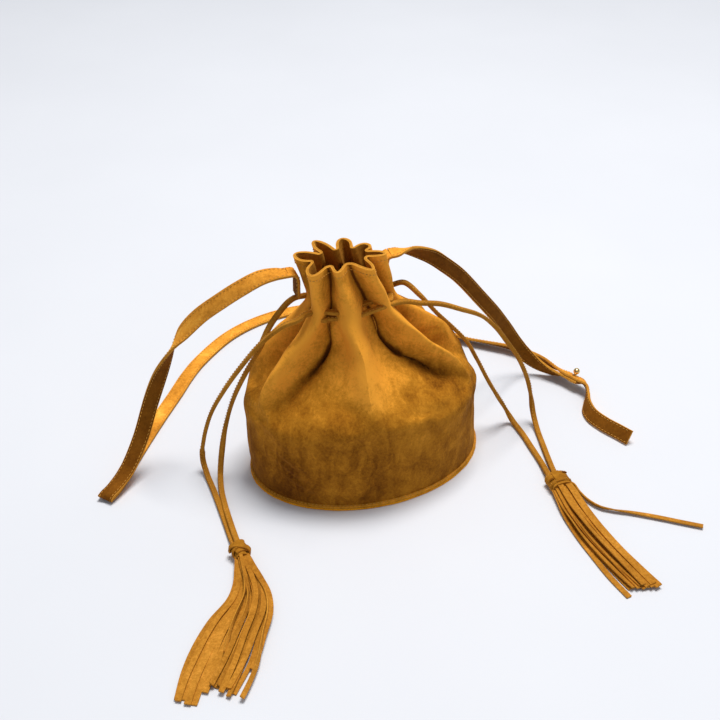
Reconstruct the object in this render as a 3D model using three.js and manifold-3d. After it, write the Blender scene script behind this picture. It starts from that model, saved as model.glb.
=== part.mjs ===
// A suede drawstring pouch: a gathered, pleated bag on an oval base, two laces
// through the neck with a tassel at each side, and a long flat shoulder strap
// that fastens on a ball stud.
// Millimetres, +Z up, origin at the middle of the base on the surface it stands on.
// +X is the pouch's long axis, -Y is the front.

import * as THREE from 'three';
import { mergeVertices } from 'three/addons/utils/BufferGeometryUtils.js';
import Module from 'manifold-3d';

const wasm = await Module();
wasm.setup();

// ---- driving dimensions ----
const HEIGHT = 228;
const GAP = 0.3;
const SUEDE = 1.8;
const FACING = 1;
const FACING_GAP = 0.4;
const FACING_BOTTOM = 168;
const FLANGE = { halfWidth: 114, halfDepth: 81, top: 4.9, width: 2 };
const BOARD = { halfWidth: 104, halfDepth: 71, thickness: 2 };
const LACE_RADIUS = 2.5;
const LACE_HOLE_MARGIN = 0.7;
const LACE_TRAVEL = 18;
const LACE_LINE = { left: 183.4, right: 176.6, frontY: -17, backY: 17 };
const NECK_X = -14;
const STRAP = { width: 15, thickness: 2.6 };
const ANCHOR_AXIS = { y: 14, z: 212.6 };
const STUD = { ballRadius: 3.4, postRadius: 1.5, holeRadius: 1.9, capRadius: 4.5, capThickness: 1.2 };

// ---- small helpers ----
const vec = ([x, y, z]) => new THREE.Vector3(x, y, z);
const { lerp, clamp, smoothstep: smooth, euclideanModulo: wrap } = THREE.MathUtils;

function bare(geometry) {
  const clean = geometry.clone();
  clean.deleteAttribute('normal');
  clean.deleteAttribute('uv');
  return mergeVertices(clean, 1e-4);
}

function toSolid(geometry) {
  const merged = bare(geometry);
  return new wasm.Manifold(new wasm.Mesh({
    numProp: 3,
    vertProperties: new Float32Array(merged.attributes.position.array),
    triVerts: new Uint32Array(merged.index.array),
  }));
}

function toGeometry(solid) {
  const mesh = solid.getMesh();
  const geometry = new THREE.BufferGeometry();
  geometry.setAttribute('position', new THREE.BufferAttribute(mesh.vertProperties, 3));
  geometry.setIndex(new THREE.BufferAttribute(mesh.triVerts, 1));
  geometry.computeVertexNormals();
  return geometry;
}

function cut(geometry, cutters) {
  let solid = toSolid(geometry);
  for (const cutter of cutters) {
    solid = solid.subtract(toSolid(cutter));
  }
  return toGeometry(solid);
}

// Splits the squares of a box's back face along the same diagonal as its front face's,
// so that shells shaped from boxes nest inside each other.
function matchDiagonals(box) {
  const { start, count } = box.groups[5];
  for (let i = start; i < start + count; i += 6) {
    const [a, b, d, , c] = box.index.array.slice(i, i + 6);
    box.index.array.set([a, b, c, a, c, d], i);
  }
}

// A block of segments whose every corner is moved: place(u, v, w) takes 0..1 along
// each side and returns a point.
function shapedBlock(segments, place) {
  const box = new THREE.BoxGeometry(1, 1, 1, ...segments);
  matchDiagonals(box);
  const position = box.attributes.position;
  for (let i = 0; i < position.count; i++) {
    const [x, y, z] = place(position.getX(i) + 0.5, position.getY(i) + 0.5, position.getZ(i) + 0.5);
    position.setXYZ(i, x, y, z);
  }
  const shaped = bare(box);
  shaped.computeVertexNormals();
  return shaped;
}

// Values given at rising stations, read anywhere between them.
function between(stations, at) {
  let i = 0;
  while (i < stations.length - 2 && at > stations[i + 1][0]) {
    i++;
  }
  const [from, ...low] = stations[i];
  const [to, ...high] = stations[i + 1];
  const t = clamp((at - from) / (to - from), 0, 1);
  return low.map((value, k) => lerp(value, high[k], t));
}

// ---- the gathered wall ----
// Height, half width, half depth, lean to the left, pleat depth and undercut.
const WALL = [
  [0, 112, 79, 0, 0, 0],
  [30, 112.5, 80, -1.5, 0, 0],
  [60, 111.5, 80, -2.5, 0, 0],
  [86, 111, 78, -3, 0, 0],
  [98, 109, 76, -5, 0.04, 0.045],
  [110, 106, 72, -7, 0.17, 0.11],
  [130, 96, 63, -10, 0.38, 0.14],
  [150, 77, 51, -12, 0.54, 0.09],
  [166, 57, 41, -13, 0.6, 0.03],
  [180, 43.5, 33, -14, 0.64, 0],
  [204, 42, 33, -18, 0.58, 0],
  [HEIGHT, 44, 36, -23, 0.52, 0],
];

// The direction of every crest and valley, in degrees: at the shoulder, on the tubes,
// at the lace line and at the rim. They fan out as the pleats run down into the body.
const FOLDS = [
  [-164, -156, -153, -143],
  [-151, -141, -131, -127],
  [-97, -96, -104, -110],
  [-40, -56, -70, -84],
  [-29, -42, -46, -64],
  [-13, -20, -24, -36],
  [2, -3, -7, -15],
  [18, 15, 12, 7],
  [32, 32, 32, 30],
  [50, 51, 52, 51],
  [68, 69, 70, 72],
  [88, 88, 88, 90],
  [106, 106, 106, 108],
  [128, 127, 126, 128],
  [148, 147, 145, 150],
  [174, 172, 170, 180],
];
const SHOULDER = 112;
const TUBES = 146;
const LACE_HEIGHT = 180;

// How far every crest and valley stands out of the even shape at the rim.
const RIM_LOBES = [
  0.02, 0.04, -0.26, -0.06, -0.04, -0.05, -0.1, -0.08, -0.28, -0.16, -0.14, -0.2, 0, -0.15, -0.02, 0.04,
];
// How narrow each crest is, on the shoulder and at the neck.
const NARROWING = [3.4, 7, 3.4, 2, 2, 2, 2, 2];
const NECK_NARROWING = [2.6, 3.4, 3, 1.8, 1.2, 1.2, 1.2, 1.2];
// How much of their depth the pleats also have across the pouch, at the neck and the rim.
const SIDEWAYS = { neck: 0.35, rim: 0.74 };
const UNDERCUT_VALLEYS = [1, 3];
const UNDERCUT_REACH = 0.8;

function foldAngle(index, z) {
  const turns = Math.floor(index / FOLDS.length);
  const [shoulder, tubes, lace, rim] = FOLDS[index - turns * FOLDS.length];
  const low = smooth(z, SHOULDER, TUBES);
  const middle = smooth(z, TUBES, LACE_HEIGHT);
  const high = smooth(z, LACE_HEIGHT, HEIGHT);
  return shoulder + (tubes - shoulder) * low + (lace - tubes) * middle + (rim - lace) * high + 360 * turns;
}

// The direction of the wall in degrees, smoothly through the crests and valleys.
function wallAngle(fold, z) {
  const whole = Math.floor(fold);
  const t = fold - whole;
  const [a, b, c, d] = [-1, 0, 1, 2].map((step) => foldAngle(whole + step, z));
  return b + ((c - a) * t + (2 * a - 5 * b + 4 * c - d) * t * t + (3 * b - a - 3 * c + d) * t ** 3) / 2;
}

// How far out the pleated wall stands, as a share of its full reach.
function wallReach(fold, z, depth, undercut) {
  const crest = Math.cos(Math.PI * fold / 2) ** 2;
  const nearest = wrap(Math.round(fold / 2), NARROWING.length);
  const narrow = lerp(NARROWING[nearest], NECK_NARROWING[nearest], smooth(z, TUBES, LACE_HEIGHT));
  const turn = wrap(fold, FOLDS.length);
  const nearness = UNDERCUT_VALLEYS.map((valley) => 1 - Math.abs(turn - valley) / UNDERCUT_REACH);
  const sunk = undercut * Math.max(0, ...nearness) ** 2;
  const whole = Math.floor(fold);
  const [before, after] = [whole, whole + 1].map((index) => RIM_LOBES[wrap(index, FOLDS.length)]);
  const lobe = lerp(before, after, smooth(fold - whole, 0, 1)) * smooth(z, LACE_HEIGHT, HEIGHT);
  return (1 - depth * (1 - crest ** narrow) - sunk) * (1 + lobe);
}

// fold counts along the wall: whole even numbers are crests, odd ones are valleys.
// Deep pleats are rounder at their crests and closer together in their valleys.
const ROUNDING = 1.4;

function wallOutline(fold, z) {
  const [halfWidth, halfDepth, lean, depth, undercut] = between(WALL, z);
  const rounded = fold + ROUNDING * depth * Math.sin(Math.PI * fold) / Math.PI;
  const angle = THREE.MathUtils.degToRad(wallAngle(rounded, z));
  const reach = wallReach(fold, z, depth, undercut);
  const neck = lerp(1, SIDEWAYS.neck, smooth(z, TUBES, LACE_HEIGHT));
  const sideways = lerp(neck, SIDEWAYS.rim, smooth(z, LACE_HEIGHT, HEIGHT));
  const x = lean + halfWidth * (1 - sideways * (1 - reach)) * Math.cos(angle);
  return new THREE.Vector2(x, halfDepth * reach * Math.sin(angle));
}

// The wall's outline moved inward by a distance, square to the outline.
function wallPoint(fold, z, inset) {
  const point = wallOutline(fold, z);
  const along = wallOutline(fold + 0.02, z).sub(wallOutline(fold - 0.02, z)).normalize();
  return [point.x - along.y * inset, point.y + along.x * inset, z];
}

// The side seams, by fold number: each runs down a valley.
const SEAMS = { right: 7, left: 15 };
const PIECES_PER_FOLD = 5;

// Half of a wall between the two side seams, as a shell: inset(z, outer) says how far
// inside the wall's outline its outer and inner faces lie.
function wallHalf(half, heights, inset) {
  const seamGap = 0.03;
  const { right, left } = SEAMS;
  const [start, end] = half === 'back' ? [right, left] : [left - FOLDS.length, right];
  const pieces = (end - start) * PIECES_PER_FOLD;
  const last = heights.length - 1;
  const shell = shapedBlock([pieces, last, 1], (u, v, w) => {
    const z = heights[Math.round(v * last)];
    const fold = clamp(start + u * (end - start), start + seamGap, end - seamGap);
    return wallPoint(fold, z, inset(z, w > 0.5));
  });
  return cut(shell, laceCutters);
}

// ---- base ----
function ovalPlate(halfWidth, halfDepth, bottom, thickness) {
  const plate = new THREE.CylinderGeometry(1, 1, thickness, 64);
  plate.rotateX(Math.PI / 2);
  plate.scale(halfWidth, halfDepth, 1);
  plate.translate(0, 0, bottom + thickness / 2);
  return plate;
}

// ---- laces ----
function tube(points, radius, steps) {
  const section = new THREE.Shape();
  section.absarc(0, 0, radius, 0, 2 * Math.PI, false);
  return new THREE.ExtrudeGeometry(section, {
    steps,
    curveSegments: 4,
    bevelEnabled: false,
    extrudePath: new THREE.CatmullRomCurve3(points.map(vec)),
  });
}

// The straight run of a lace through the front or back pleats, innermost point first.
function laceRun(side, y) {
  const sign = side === 'left' ? -1 : 1;
  const z = LACE_LINE[side];
  return [-28, 10, 38, 46].map((reach) => [NECK_X + sign * reach, y, z]);
}

const LACE_ENDS = {
  left_lace_front: [
    [-68, -15.5, 181.5], [-81, -10, 174], [-98, -1, 155], [-117, 8, 126], [-133, 15, 98], [-145, 22, 70],
    [-153, 27, 38], [-156, 27, 15], [-155.5, 16, 4.2], [-155, -10, 3], [-156.2, -50, 3], [-157.3, -87.9, 3.4],
  ],
  left_lace_back: [
    [-67, 16, 181], [-76, 13, 175], [-88, 9, 163], [-99, 5, 145], [-107, 8, 128], [-115, 10, 112],
    [-125, 13, 88], [-133, 16, 58], [-139, 15, 30], [-144, 8, 7], [-148, -12, 3], [-150.2, -50, 3],
    [-151.3, -87.9, 3.4],
  ],
  right_lace_front: [
    [45, -19, 176], [64, -21, 172], [85, -22, 162], [108, -18, 147], [126, -15, 127], [140, -13, 106],
    [156, -11, 80], [167, -11, 54], [172.5, -12, 32], [174.5, -17, 13], [172.5, -32, 3.6], [167, -56, 3],
    [161.5, -80, 3], [156.6, -99.4, 3.4],
  ],
  right_lace_back: [
    [42, 12, 180], [55, 4, 168], [71, 1, 147], [88, 0, 127], [104, 0, 106], [114, -3, 86], [124, -5, 64],
    [135, -8, 42], [147, -7, 20], [154.5, -12, 5], [156, -31, 3], [155, -52, 3],
    [153.5, -76, 3], [150.4, -99.4, 3.4],
  ],
};

// The bend of each lace around the far side of the neck, between its two runs.
function laceBend(side) {
  const sign = side === 'left' ? 1 : -1;
  const z = LACE_LINE[side];
  const half = [[29, 17], [31.5, 16.5], [34.5, 8]];
  const front = half.map(([reach, y]) => [NECK_X + sign * reach, -y, z]);
  const back = half.map(([reach, y]) => [NECK_X + sign * reach, y, z]).reverse();
  return [...front, ...back];
}

const LACE_ROUTES = {
  left_lace_front: [...laceRun('left', LACE_LINE.frontY), ...LACE_ENDS.left_lace_front],
  left_lace_back: [...laceRun('left', LACE_LINE.backY), ...LACE_ENDS.left_lace_back],
  right_lace_front: [...laceRun('right', LACE_LINE.frontY), ...LACE_ENDS.right_lace_front],
  right_lace_back: [...laceRun('right', LACE_LINE.backY), ...LACE_ENDS.right_lace_back],
  left_lace_bend: laceBend('left'),
  right_lace_bend: laceBend('right'),
};
const laceSteps = (route) => Math.round(route.length * 1.4);

// A run's straight way out of the neck as its lace is pulled.
function pulledRun(side, y) {
  const sign = side === 'left' ? -1 : 1;
  return [-29, 46 + LACE_TRAVEL + 2].map((reach) => [NECK_X + sign * reach, y, LACE_LINE[side]]);
}

// Everything that the laces' holes are cut with: the same routes and the pulled runs,
// a little fatter.
const laceCutters = [
  ...Object.values(LACE_ROUTES),
  ...['left', 'right'].flatMap((side) => [LACE_LINE.frontY, LACE_LINE.backY].map((y) => pulledRun(side, y))),
].map((route) => tube(route, LACE_RADIUS + LACE_HOLE_MARGIN, laceSteps(route)));

// A solid turned about the Y axis from a profile of radii and heights.
function lathe(profile, sides) {
  return new THREE.LatheGeometry(profile.map(([radius, height]) => new THREE.Vector2(radius, height)), sides);
}

// ---- flat straps ----
// A flat band along a route. Each row gives the middle of the band, then the direction
// of its width there; width and thickness may be numbers or functions of 0..1.
function band(rows, width, thickness) {
  const route = new THREE.CatmullRomCurve3(rows.map(([x, y, z]) => new THREE.Vector3(x, y, z)));
  const across = new THREE.CatmullRomCurve3(rows.map((row) => vec(row.slice(3))), false, 'catmullrom');
  const size = (value, u) => (typeof value === 'function' ? value(u) : value);
  return shapedBlock([rows.length - 1, 1, 1], (u, v, w) => {
    const tangent = route.getTangent(u);
    const side = across.getPoint(u);
    side.addScaledVector(tangent, -side.dot(tangent)).normalize();
    const face = new THREE.Vector3().crossVectors(tangent, side);
    return route.getPoint(u)
      .addScaledVector(side, (v - 0.5) * size(width, u))
      .addScaledVector(face, (w - 0.5) * size(thickness, u))
      .toArray();
  });
}

// Where the two straps overlap: the stud's place and axis, and the straps' direction.
const STUD_PLACE = new THREE.Vector3(243, 24, 12);
const STUD_AXIS = new THREE.Vector3(0.45, 0.2, 0.87).normalize();
const STUD_ALONG = new THREE.Vector3(0.42, -0.907, 0).cross(STUD_AXIS).cross(STUD_AXIS).negate().normalize();
const STUD_SIDE = new THREE.Vector3().crossVectors(STUD_AXIS, STUD_ALONG);

// A strap row beside the stud: so far along the straps and so far down the stud's axis.
function rowAtStud(along, down) {
  const middle = STUD_PLACE.clone().addScaledVector(STUD_ALONG, along).addScaledVector(STUD_AXIS, -down);
  return [...middle.toArray(), ...STUD_SIDE.toArray()];
}
const LONG_START = -68.3;
const SHORT_START = 28.3;

const STRAP_LONG = [
  [LONG_START, ANCHOR_AXIS.y, ANCHOR_AXIS.z, 0, -1, 0],
  [-72.5, ANCHOR_AXIS.y, ANCHOR_AXIS.z, 0, -1, 0],
  [-79, 16, 212, 0, -1, -0.15],
  [-91, 20, 208.5, 0.15, -0.85, -0.35],
  [-109, 25, 198, 0.3, -0.7, -0.5],
  [-126, 31, 185, 0.35, -0.63, -0.57],
  [-143, 38, 170, 0.36, -0.6, -0.56],
  [-157, 43, 154, 0.2, -0.75, -0.4],
  [-168, 47, 138, -0.2, -0.85, 0.2],
  [-176, 51, 120, -0.6, -0.6, 0.5],
  [-184, 56, 98, -0.8, -0.1, 0.5],
  [-194, 57, 72, -0.78, 0.3, 0.42],
  [-210, 48, 37, -0.76, 0.5, 0.3],
  [-228, 34, 15, -0.68, 0.68, 0.12],
  [-244, 20.5, 8.4, -0.64, 0.77, 0],
  [-250.5, 15.5, 7.2, -0.66, 0.75, 0],
  [-253.2, 14.2, 4.5, -0.7, 0.7, 0],
  [-250, 18.5, 1.9, -0.76, 0.64, 0],
  [-240, 30, 1.7, -0.8, 0.6, 0],
  [-220, 60, 1.7, -0.83, 0.56, 0],
  [-201, 88, 1.7, -0.82, 0.58, 0],
  [-179, 119, 1.7, -0.8, 0.6, 0],
  [-156, 150, 1.7, -0.78, 0.62, 0],
  [-136, 178, 1.7, -0.78, 0.62, 0],
  [-117, 200, 1.7, -0.7, 0.7, 0],
  [-74, 236, 1.7, -0.5, 0.86, 0],
  [-32, 254, 1.7, -0.25, 0.97, 0],
  [12, 259, 1.7, 0, 1, 0],
  [56, 250, 1.7, 0.3, 0.95, 0],
  [94, 229, 1.9, 0.5, 0.86, -0.02],
  [126, 198, 3.2, 0.55, 0.8, -0.2],
  [148, 165, 4.8, 0.5, 0.8, -0.4],
  [166, 139, 5.8, 0.4, 0.75, -0.55],
  [186, 121, 6.4, 0.35, 0.7, -0.62],
  [204, 105, 6.9, 0.35, 0.6, -0.7],
  [219, 86, 7.4, 0.3, 0.4, -0.82],
  [230, 66, 7.8, 0.35, 0.35, -0.84],
  [235, 51, 8.8, 0.55, 0.38, -0.74],
  rowAtStud(-10, 0),
  rowAtStud(0, 0),
  rowAtStud(9, 0),
  [248, 5, 9.4, 0.3, 0.1, -0.94],
  [241, -8, 8, -0.3, -0.2, -0.9],
  [234.5, -20, 7.8, -0.5, -0.2, -0.82],
  [232.5, -34, 7.6, -0.55, -0.12, -0.8],
  [237, -51, 7.6, -0.55, -0.12, -0.8],
  [244, -66, 7.6, -0.52, -0.2, -0.82],
  [250, -79, 7.6, -0.5, -0.25, -0.82],
];

// The short strap lies face to face under the long one at the stud.
const UNDER = STRAP.thickness + 2 * GAP;
const STRAP_SHORT = [
  [SHORT_START, ANCHOR_AXIS.y, ANCHOR_AXIS.z, 0, 1, 0],
  [32.5, ANCHOR_AXIS.y, ANCHOR_AXIS.z, 0, 1, 0],
  [39, 17.5, 211.8, 0, 1, -0.25],
  [50, 23, 207, 0, 0.7, -0.7],
  [76, 32, 190, -0.15, 0.2, -0.95],
  [94, 38, 173, -0.3, -0.1, -0.92],
  [113, 44, 153, -0.38, -0.2, -0.86],
  [140, 51, 118, -0.42, -0.25, -0.82],
  [161, 56, 90, -0.42, -0.25, -0.82],
  [177, 62, 66, -0.4, -0.2, -0.86],
  [191, 63, 43, -0.35, -0.1, -0.9],
  [204, 61, 25, -0.2, 0, -0.97],
  [216, 54, 14, 0.1, 0.15, -0.95],
  [228, 43, 9.2, 0.5, 0.3, -0.8],
  rowAtStud(-10, UNDER),
  rowAtStud(0, UNDER),
  rowAtStud(8, UNDER),
];

function placeOnStud(geometry) {
  const turn = new THREE.Quaternion().setFromUnitVectors(new THREE.Vector3(0, 1, 0), STUD_AXIS);
  return geometry.applyQuaternion(turn).translate(...STUD_PLACE.toArray());
}

function holed(geometry) {
  const reach = 24;
  const drill = new THREE.CylinderGeometry(STUD.holeRadius, STUD.holeRadius, reach, 20);
  return cut(geometry, [placeOnStud(drill)]);
}

const turned = (profile) => placeOnStud(lathe(profile, 16));

// The ball with the collar that bears on the long strap.
function studBall() {
  const face = STRAP.thickness / 2 + GAP;
  const collar = { radius: 3.2, thickness: 0.8 };
  const neck = { radius: 1.6, height: 2.2 };
  const centre = face + neck.height + STUD.ballRadius * 0.86;
  const profile = [
    [0, face],
    [collar.radius, face],
    [collar.radius, face + collar.thickness],
    [neck.radius, face + collar.thickness + 0.5],
  ];
  const arc = 7;
  const start = -1.08;
  for (let i = 0; i <= arc; i++) {
    const angle = lerp(start, Math.PI / 2, i / arc);
    const radius = i === arc ? 0 : STUD.ballRadius * Math.cos(angle);
    profile.push([radius, centre + STUD.ballRadius * Math.sin(angle)]);
  }
  return turned(profile);
}

// The screw from behind: a flat cap under the short strap and a post through the holes.
function studScrew() {
  const capTop = -STRAP.thickness / 2 - UNDER - GAP;
  const postTop = STRAP.thickness / 2;
  return turned([
    [0, capTop - STUD.capThickness],
    [STUD.capRadius, capTop - STUD.capThickness],
    [STUD.capRadius, capTop],
    [STUD.postRadius, capTop],
    [STUD.postRadius, postTop],
    [0, postTop],
  ]);
}

// The sewn-down strap end on the neck: up the outside of the wall, then outward.
function strapAnchor(side) {
  const sign = side === 'left' ? -1 : 1;
  const tip = side === 'left' ? LONG_START + GAP : SHORT_START - GAP;
  const leg = side === 'left' ? -58.3 : 22.2;
  const top = ANCHOR_AXIS.z + STRAP.thickness / 2;
  const bottom = 190;
  const outline = new THREE.Shape();
  outline.moveTo(leg, bottom);
  outline.lineTo(leg + sign * STRAP.thickness, bottom);
  outline.lineTo(leg + sign * STRAP.thickness, top - STRAP.thickness);
  outline.lineTo(tip, top - STRAP.thickness);
  outline.lineTo(tip, top);
  outline.lineTo(leg, top);
  outline.closePath();
  const tab = new THREE.ExtrudeGeometry(outline, { depth: STRAP.width, bevelEnabled: false });
  tab.rotateX(Math.PI / 2);
  tab.translate(0, ANCHOR_AXIS.y + STRAP.width / 2, 0);
  return tab;
}

// ---- tassels ----
// place is the middle of the rounded end, which the tassel swings about.
const COLLAR = {
  left: { place: [-154.3, -95.7, 8], radius: 7.4, flatness: 0.9, length: 8.6 },
  right: { place: [153.5, -110, 7.2], radius: 10.5, flatness: 0.62, length: 10.6 },
};

// The wrapped suede collar that holds the laces and the fringe together: a round bar
// with a half ball at its lace end.
function tasselCollar(side) {
  const { place, radius, flatness, length } = COLLAR[side];
  const profile = [[0, -length], [radius, -length]];
  const arc = 6;
  for (let i = 0; i < arc; i++) {
    const angle = (i / arc) * Math.PI / 2;
    profile.push([radius * Math.cos(angle), radius * Math.sin(angle)]);
  }
  profile.push([0, radius]);
  const collar = lathe(profile, 20);
  collar.scale(1, 1, flatness);
  return collar.translate(...place);
}

// The bundle of fringe strips, spreading towards its ends.
function fringe(rows, startWidth, endWidth, startThickness, endThickness) {
  const width = (u) => lerp(startWidth, endWidth, (u + u * u) / 2);
  const thickness = (u) => lerp(startThickness, endThickness, u);
  return band(rows, width, thickness);
}

const LEFT_FRINGE = [
  [-154.3, -105.1, 7.4, -1, 0, 0],
  [-154.4, -110, 7.3, -1, 0, 0],
  [-155.6, -124, 7.2, -1, 0.05, 0],
  [-157, -138, 6.9, -1, 0.2, 0],
  [-162, -153, 6.5, -0.93, 0.37, 0],
  [-171.5, -168, 6.2, -0.86, 0.5, 0],
  [-185, -187, 5.6, -0.83, 0.55, 0],
  [-201, -211, 5, -0.85, 0.53, 0],
  [-219, -236, 4.4, -0.85, 0.53, 0],
];
const RIGHT_FRINGE = [
  [153.3, -121.1, 7.2, -1, 0, 0],
  [153, -127, 7.2, -1, 0, 0],
  [151.5, -142, 7.1, -1, 0, 0],
  [150.5, -165, 6.8, -1, 0, 0],
  [151.5, -190, 6.4, -1, 0, 0],
  [155.5, -220, 5.6, -1, 0, 0],
  [160.5, -256, 4.6, -1, 0, 0],
];
const LOOSE_STRIP = [
  [166.6, -120, 5.4], [167.5, -130, 4], [170.5, -142, 3], [176.5, -153, 2.6], [186, -160.5, 2.6],
  [200, -169, 2.6], [221, -184, 2.6], [236, -195.5, 2.6], [252, -207.5, 2.6],
];

// ---- materials ----
const suede = (colour) => new THREE.MeshStandardMaterial({ color: colour, roughness: 0.92, metalness: 0 });
const brass = () => new THREE.MeshStandardMaterial({ color: 0xd9b25a, roughness: 0.25, metalness: 1 });
const fibreboard = () => new THREE.MeshStandardMaterial({ color: 0x6a5a44, roughness: 0.9, metalness: 0 });

// ---- the assembly ----
const group = new THREE.Group();

function add(name, geometry, material) {
  const mesh = new THREE.Mesh(geometry, material);
  mesh.name = name;
  group.add(mesh);
}

const WALL_HEIGHTS = [
  SUEDE + GAP, FLANGE.top, FLANGE.top + 0.8, 46, 86, 104, 120, 137, 153, 168.5, 180, 192, 210, HEIGHT,
];
const FACING_HEIGHTS = WALL_HEIGHTS.filter((z) => z >= FACING_BOTTOM);

for (const half of ['front', 'back']) {
  const wallInset = (z, outer) => (outer ? (z <= FLANGE.top ? -FLANGE.width : 0) : SUEDE);
  const facingInset = (z, outer) => SUEDE + FACING_GAP + (outer ? 0 : FACING);
  add(`${half}_panel`, wallHalf(half, WALL_HEIGHTS, wallInset), suede(0xb07a22));
  add(`${half}_facing`, wallHalf(half, FACING_HEIGHTS, facingInset), suede(0xc08c3c));
}
add('base_panel', ovalPlate(FLANGE.halfWidth, FLANGE.halfDepth, 0, SUEDE), suede(0xa9731f));
add('base_board', ovalPlate(BOARD.halfWidth, BOARD.halfDepth, SUEDE + GAP, BOARD.thickness), fibreboard());

for (const [name, route] of Object.entries(LACE_ROUTES)) {
  add(name, tube(route, LACE_RADIUS, laceSteps(route)), suede(0xb98030));
}
for (const side of ['left', 'right']) {
  add(`${side}_strap_anchor`, strapAnchor(side), suede(0xb07a2c));
  add(`${side}_tassel_collar`, tasselCollar(side), suede(0xa8701f));
}
add('left_tassel_fringe', fringe(LEFT_FRINGE, 13, 56, 10, 7.4), suede(0xa36c1c));
add('right_tassel_fringe', fringe(RIGHT_FRINGE, 19, 33, 11, 8), suede(0xa36c1c));
add('right_loose_strip', tube(LOOSE_STRIP, 2, 14), suede(0xa36c1c));
add('strap_long', holed(band(STRAP_LONG, STRAP.width, STRAP.thickness)), suede(0xb07a2c));
add('strap_short', holed(band(STRAP_SHORT, STRAP.width, STRAP.thickness)), suede(0xa9742a));
add('stud_ball', studBall(), brass());
add('stud_screw', studScrew(), brass());

export default group;
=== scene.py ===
# A suede drawstring pouch: its looks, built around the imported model.
# Metres, +Z up, -Y to the front, origin under the middle of the base.

import math
import random

import bmesh
import bpy
import numpy as np
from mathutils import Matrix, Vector, noise


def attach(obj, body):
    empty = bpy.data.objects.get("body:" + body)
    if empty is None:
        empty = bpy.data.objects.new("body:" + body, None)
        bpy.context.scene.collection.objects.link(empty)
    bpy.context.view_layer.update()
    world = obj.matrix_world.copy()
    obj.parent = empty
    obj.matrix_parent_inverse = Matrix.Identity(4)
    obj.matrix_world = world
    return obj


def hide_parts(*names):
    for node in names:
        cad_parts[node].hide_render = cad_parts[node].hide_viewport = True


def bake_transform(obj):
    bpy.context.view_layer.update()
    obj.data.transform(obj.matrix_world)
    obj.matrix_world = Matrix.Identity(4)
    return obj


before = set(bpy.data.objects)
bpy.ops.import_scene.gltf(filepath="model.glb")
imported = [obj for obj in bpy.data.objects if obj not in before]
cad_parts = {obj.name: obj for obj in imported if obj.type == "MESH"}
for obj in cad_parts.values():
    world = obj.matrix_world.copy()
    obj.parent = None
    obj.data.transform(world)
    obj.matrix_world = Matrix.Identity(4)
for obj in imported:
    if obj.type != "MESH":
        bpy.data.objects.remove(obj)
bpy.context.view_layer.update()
scene = bpy.context.scene
MM = 0.001


# ---- camera ----
def add_camera(location, elevation, azimuth, lens):
    data = bpy.data.cameras.new("camera")
    data.sensor_width = 36
    data.lens = lens
    camera = bpy.data.objects.new("camera", data)
    camera.location = location
    camera.rotation_euler = (math.radians(90 - elevation), 0, math.radians(azimuth))
    scene.collection.objects.link(camera)
    scene.camera = camera


add_camera((-0.3139, -0.8481, 0.7679), elevation=36, azimuth=-20, lens=60)


# ---- lines ----
def mix(a, b, t):
    return a + (b - a) * t


def smooth_line(rows, step):
    """Rows of numbers, the first three a place, smoothed and about step apart."""
    rows = np.array(rows, float)
    rows = np.vstack([2 * rows[0] - rows[1], rows, 2 * rows[-1] - rows[-2]])
    line = []
    for a, b, c, d in zip(rows, rows[1:], rows[2:], rows[3:]):
        gaps = [math.sqrt(np.linalg.norm(q[:3] - p[:3])) for p, q in ((a, b), (b, c), (c, d))]
        t0, t1, t2, t3 = np.cumsum([0, *gaps])
        for t in np.linspace(t1, t2, max(1, round(gaps[1] ** 2 / step)), endpoint=False):
            ab = mix(a, b, (t - t0) / (t1 - t0))
            bc = mix(b, c, (t - t1) / (t2 - t1))
            cd = mix(c, d, (t - t2) / (t3 - t2))
            abc = mix(ab, bc, (t - t0) / (t2 - t0))
            bcd = mix(bc, cd, (t - t1) / (t3 - t1))
            line.append(mix(abc, bcd, (t - t1) / (t2 - t1)))
    line.append(rows[-2])
    return np.array(line)


def distances(line):
    """How far along the line each of its points is."""
    return np.concatenate([[0], np.cumsum(np.linalg.norm(np.diff(line[:, :3], axis=0), axis=1))])


def unit(vectors):
    return vectors / np.linalg.norm(vectors, axis=-1, keepdims=True)


def frames(line, across):
    """Along, across and up directions at each point of a line."""
    along = unit(np.gradient(line, axis=0))
    across = unit(across - along * np.sum(along * across, axis=1, keepdims=True))
    return along, across, np.cross(along, across)


# ---- meshes ----
class Pile:
    """Points and faces gathered for one mesh."""

    def __init__(self):
        self.points = []
        self.faces = []
        self.slots = []
        self.uvs = []

    def add(self, points, faces, slot=0, uvs=None):
        first = len(self.points)
        self.points.extend(points)
        for i, face in enumerate(faces):
            self.faces.append([first + k for k in face])
            self.slots.append(slot[i] if isinstance(slot, list) else slot)
            self.uvs.append(uvs[i] if uvs else [(0, 0)] * len(face))

    def build(self, name, materials, sharp=50):
        mesh = bpy.data.meshes.new(name)
        mesh.from_pydata([tuple(p) for p in self.points], [], self.faces)
        for material in materials:
            mesh.materials.append(material)
        mesh.polygons.foreach_set("material_index", self.slots)
        mesh.polygons.foreach_set("use_smooth", [True] * len(self.faces))
        layer = mesh.uv_layers.new(name="UVMap")
        corners = np.array([uv for face in self.uvs for uv in face], float)
        layer.data.foreach_set("uv", corners.ravel())
        mesh.set_sharp_from_angle(angle=math.radians(sharp))
        mesh.validate()
        piece = bpy.data.objects.new(name, mesh)
        scene.collection.objects.link(piece)
        return piece


def ring_faces(rings, sides, capped=False):
    """The faces between rings of points, and across the two ends if capped."""
    faces = [
        [r * sides + k, r * sides + (k + 1) % sides, (r + 1) * sides + (k + 1) % sides, (r + 1) * sides + k]
        for r in range(rings - 1)
        for k in range(sides)
    ]
    if capped:
        last = (rings - 1) * sides
        faces += [list(range(sides))[::-1], [last + k for k in range(sides)]]
    return faces


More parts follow.
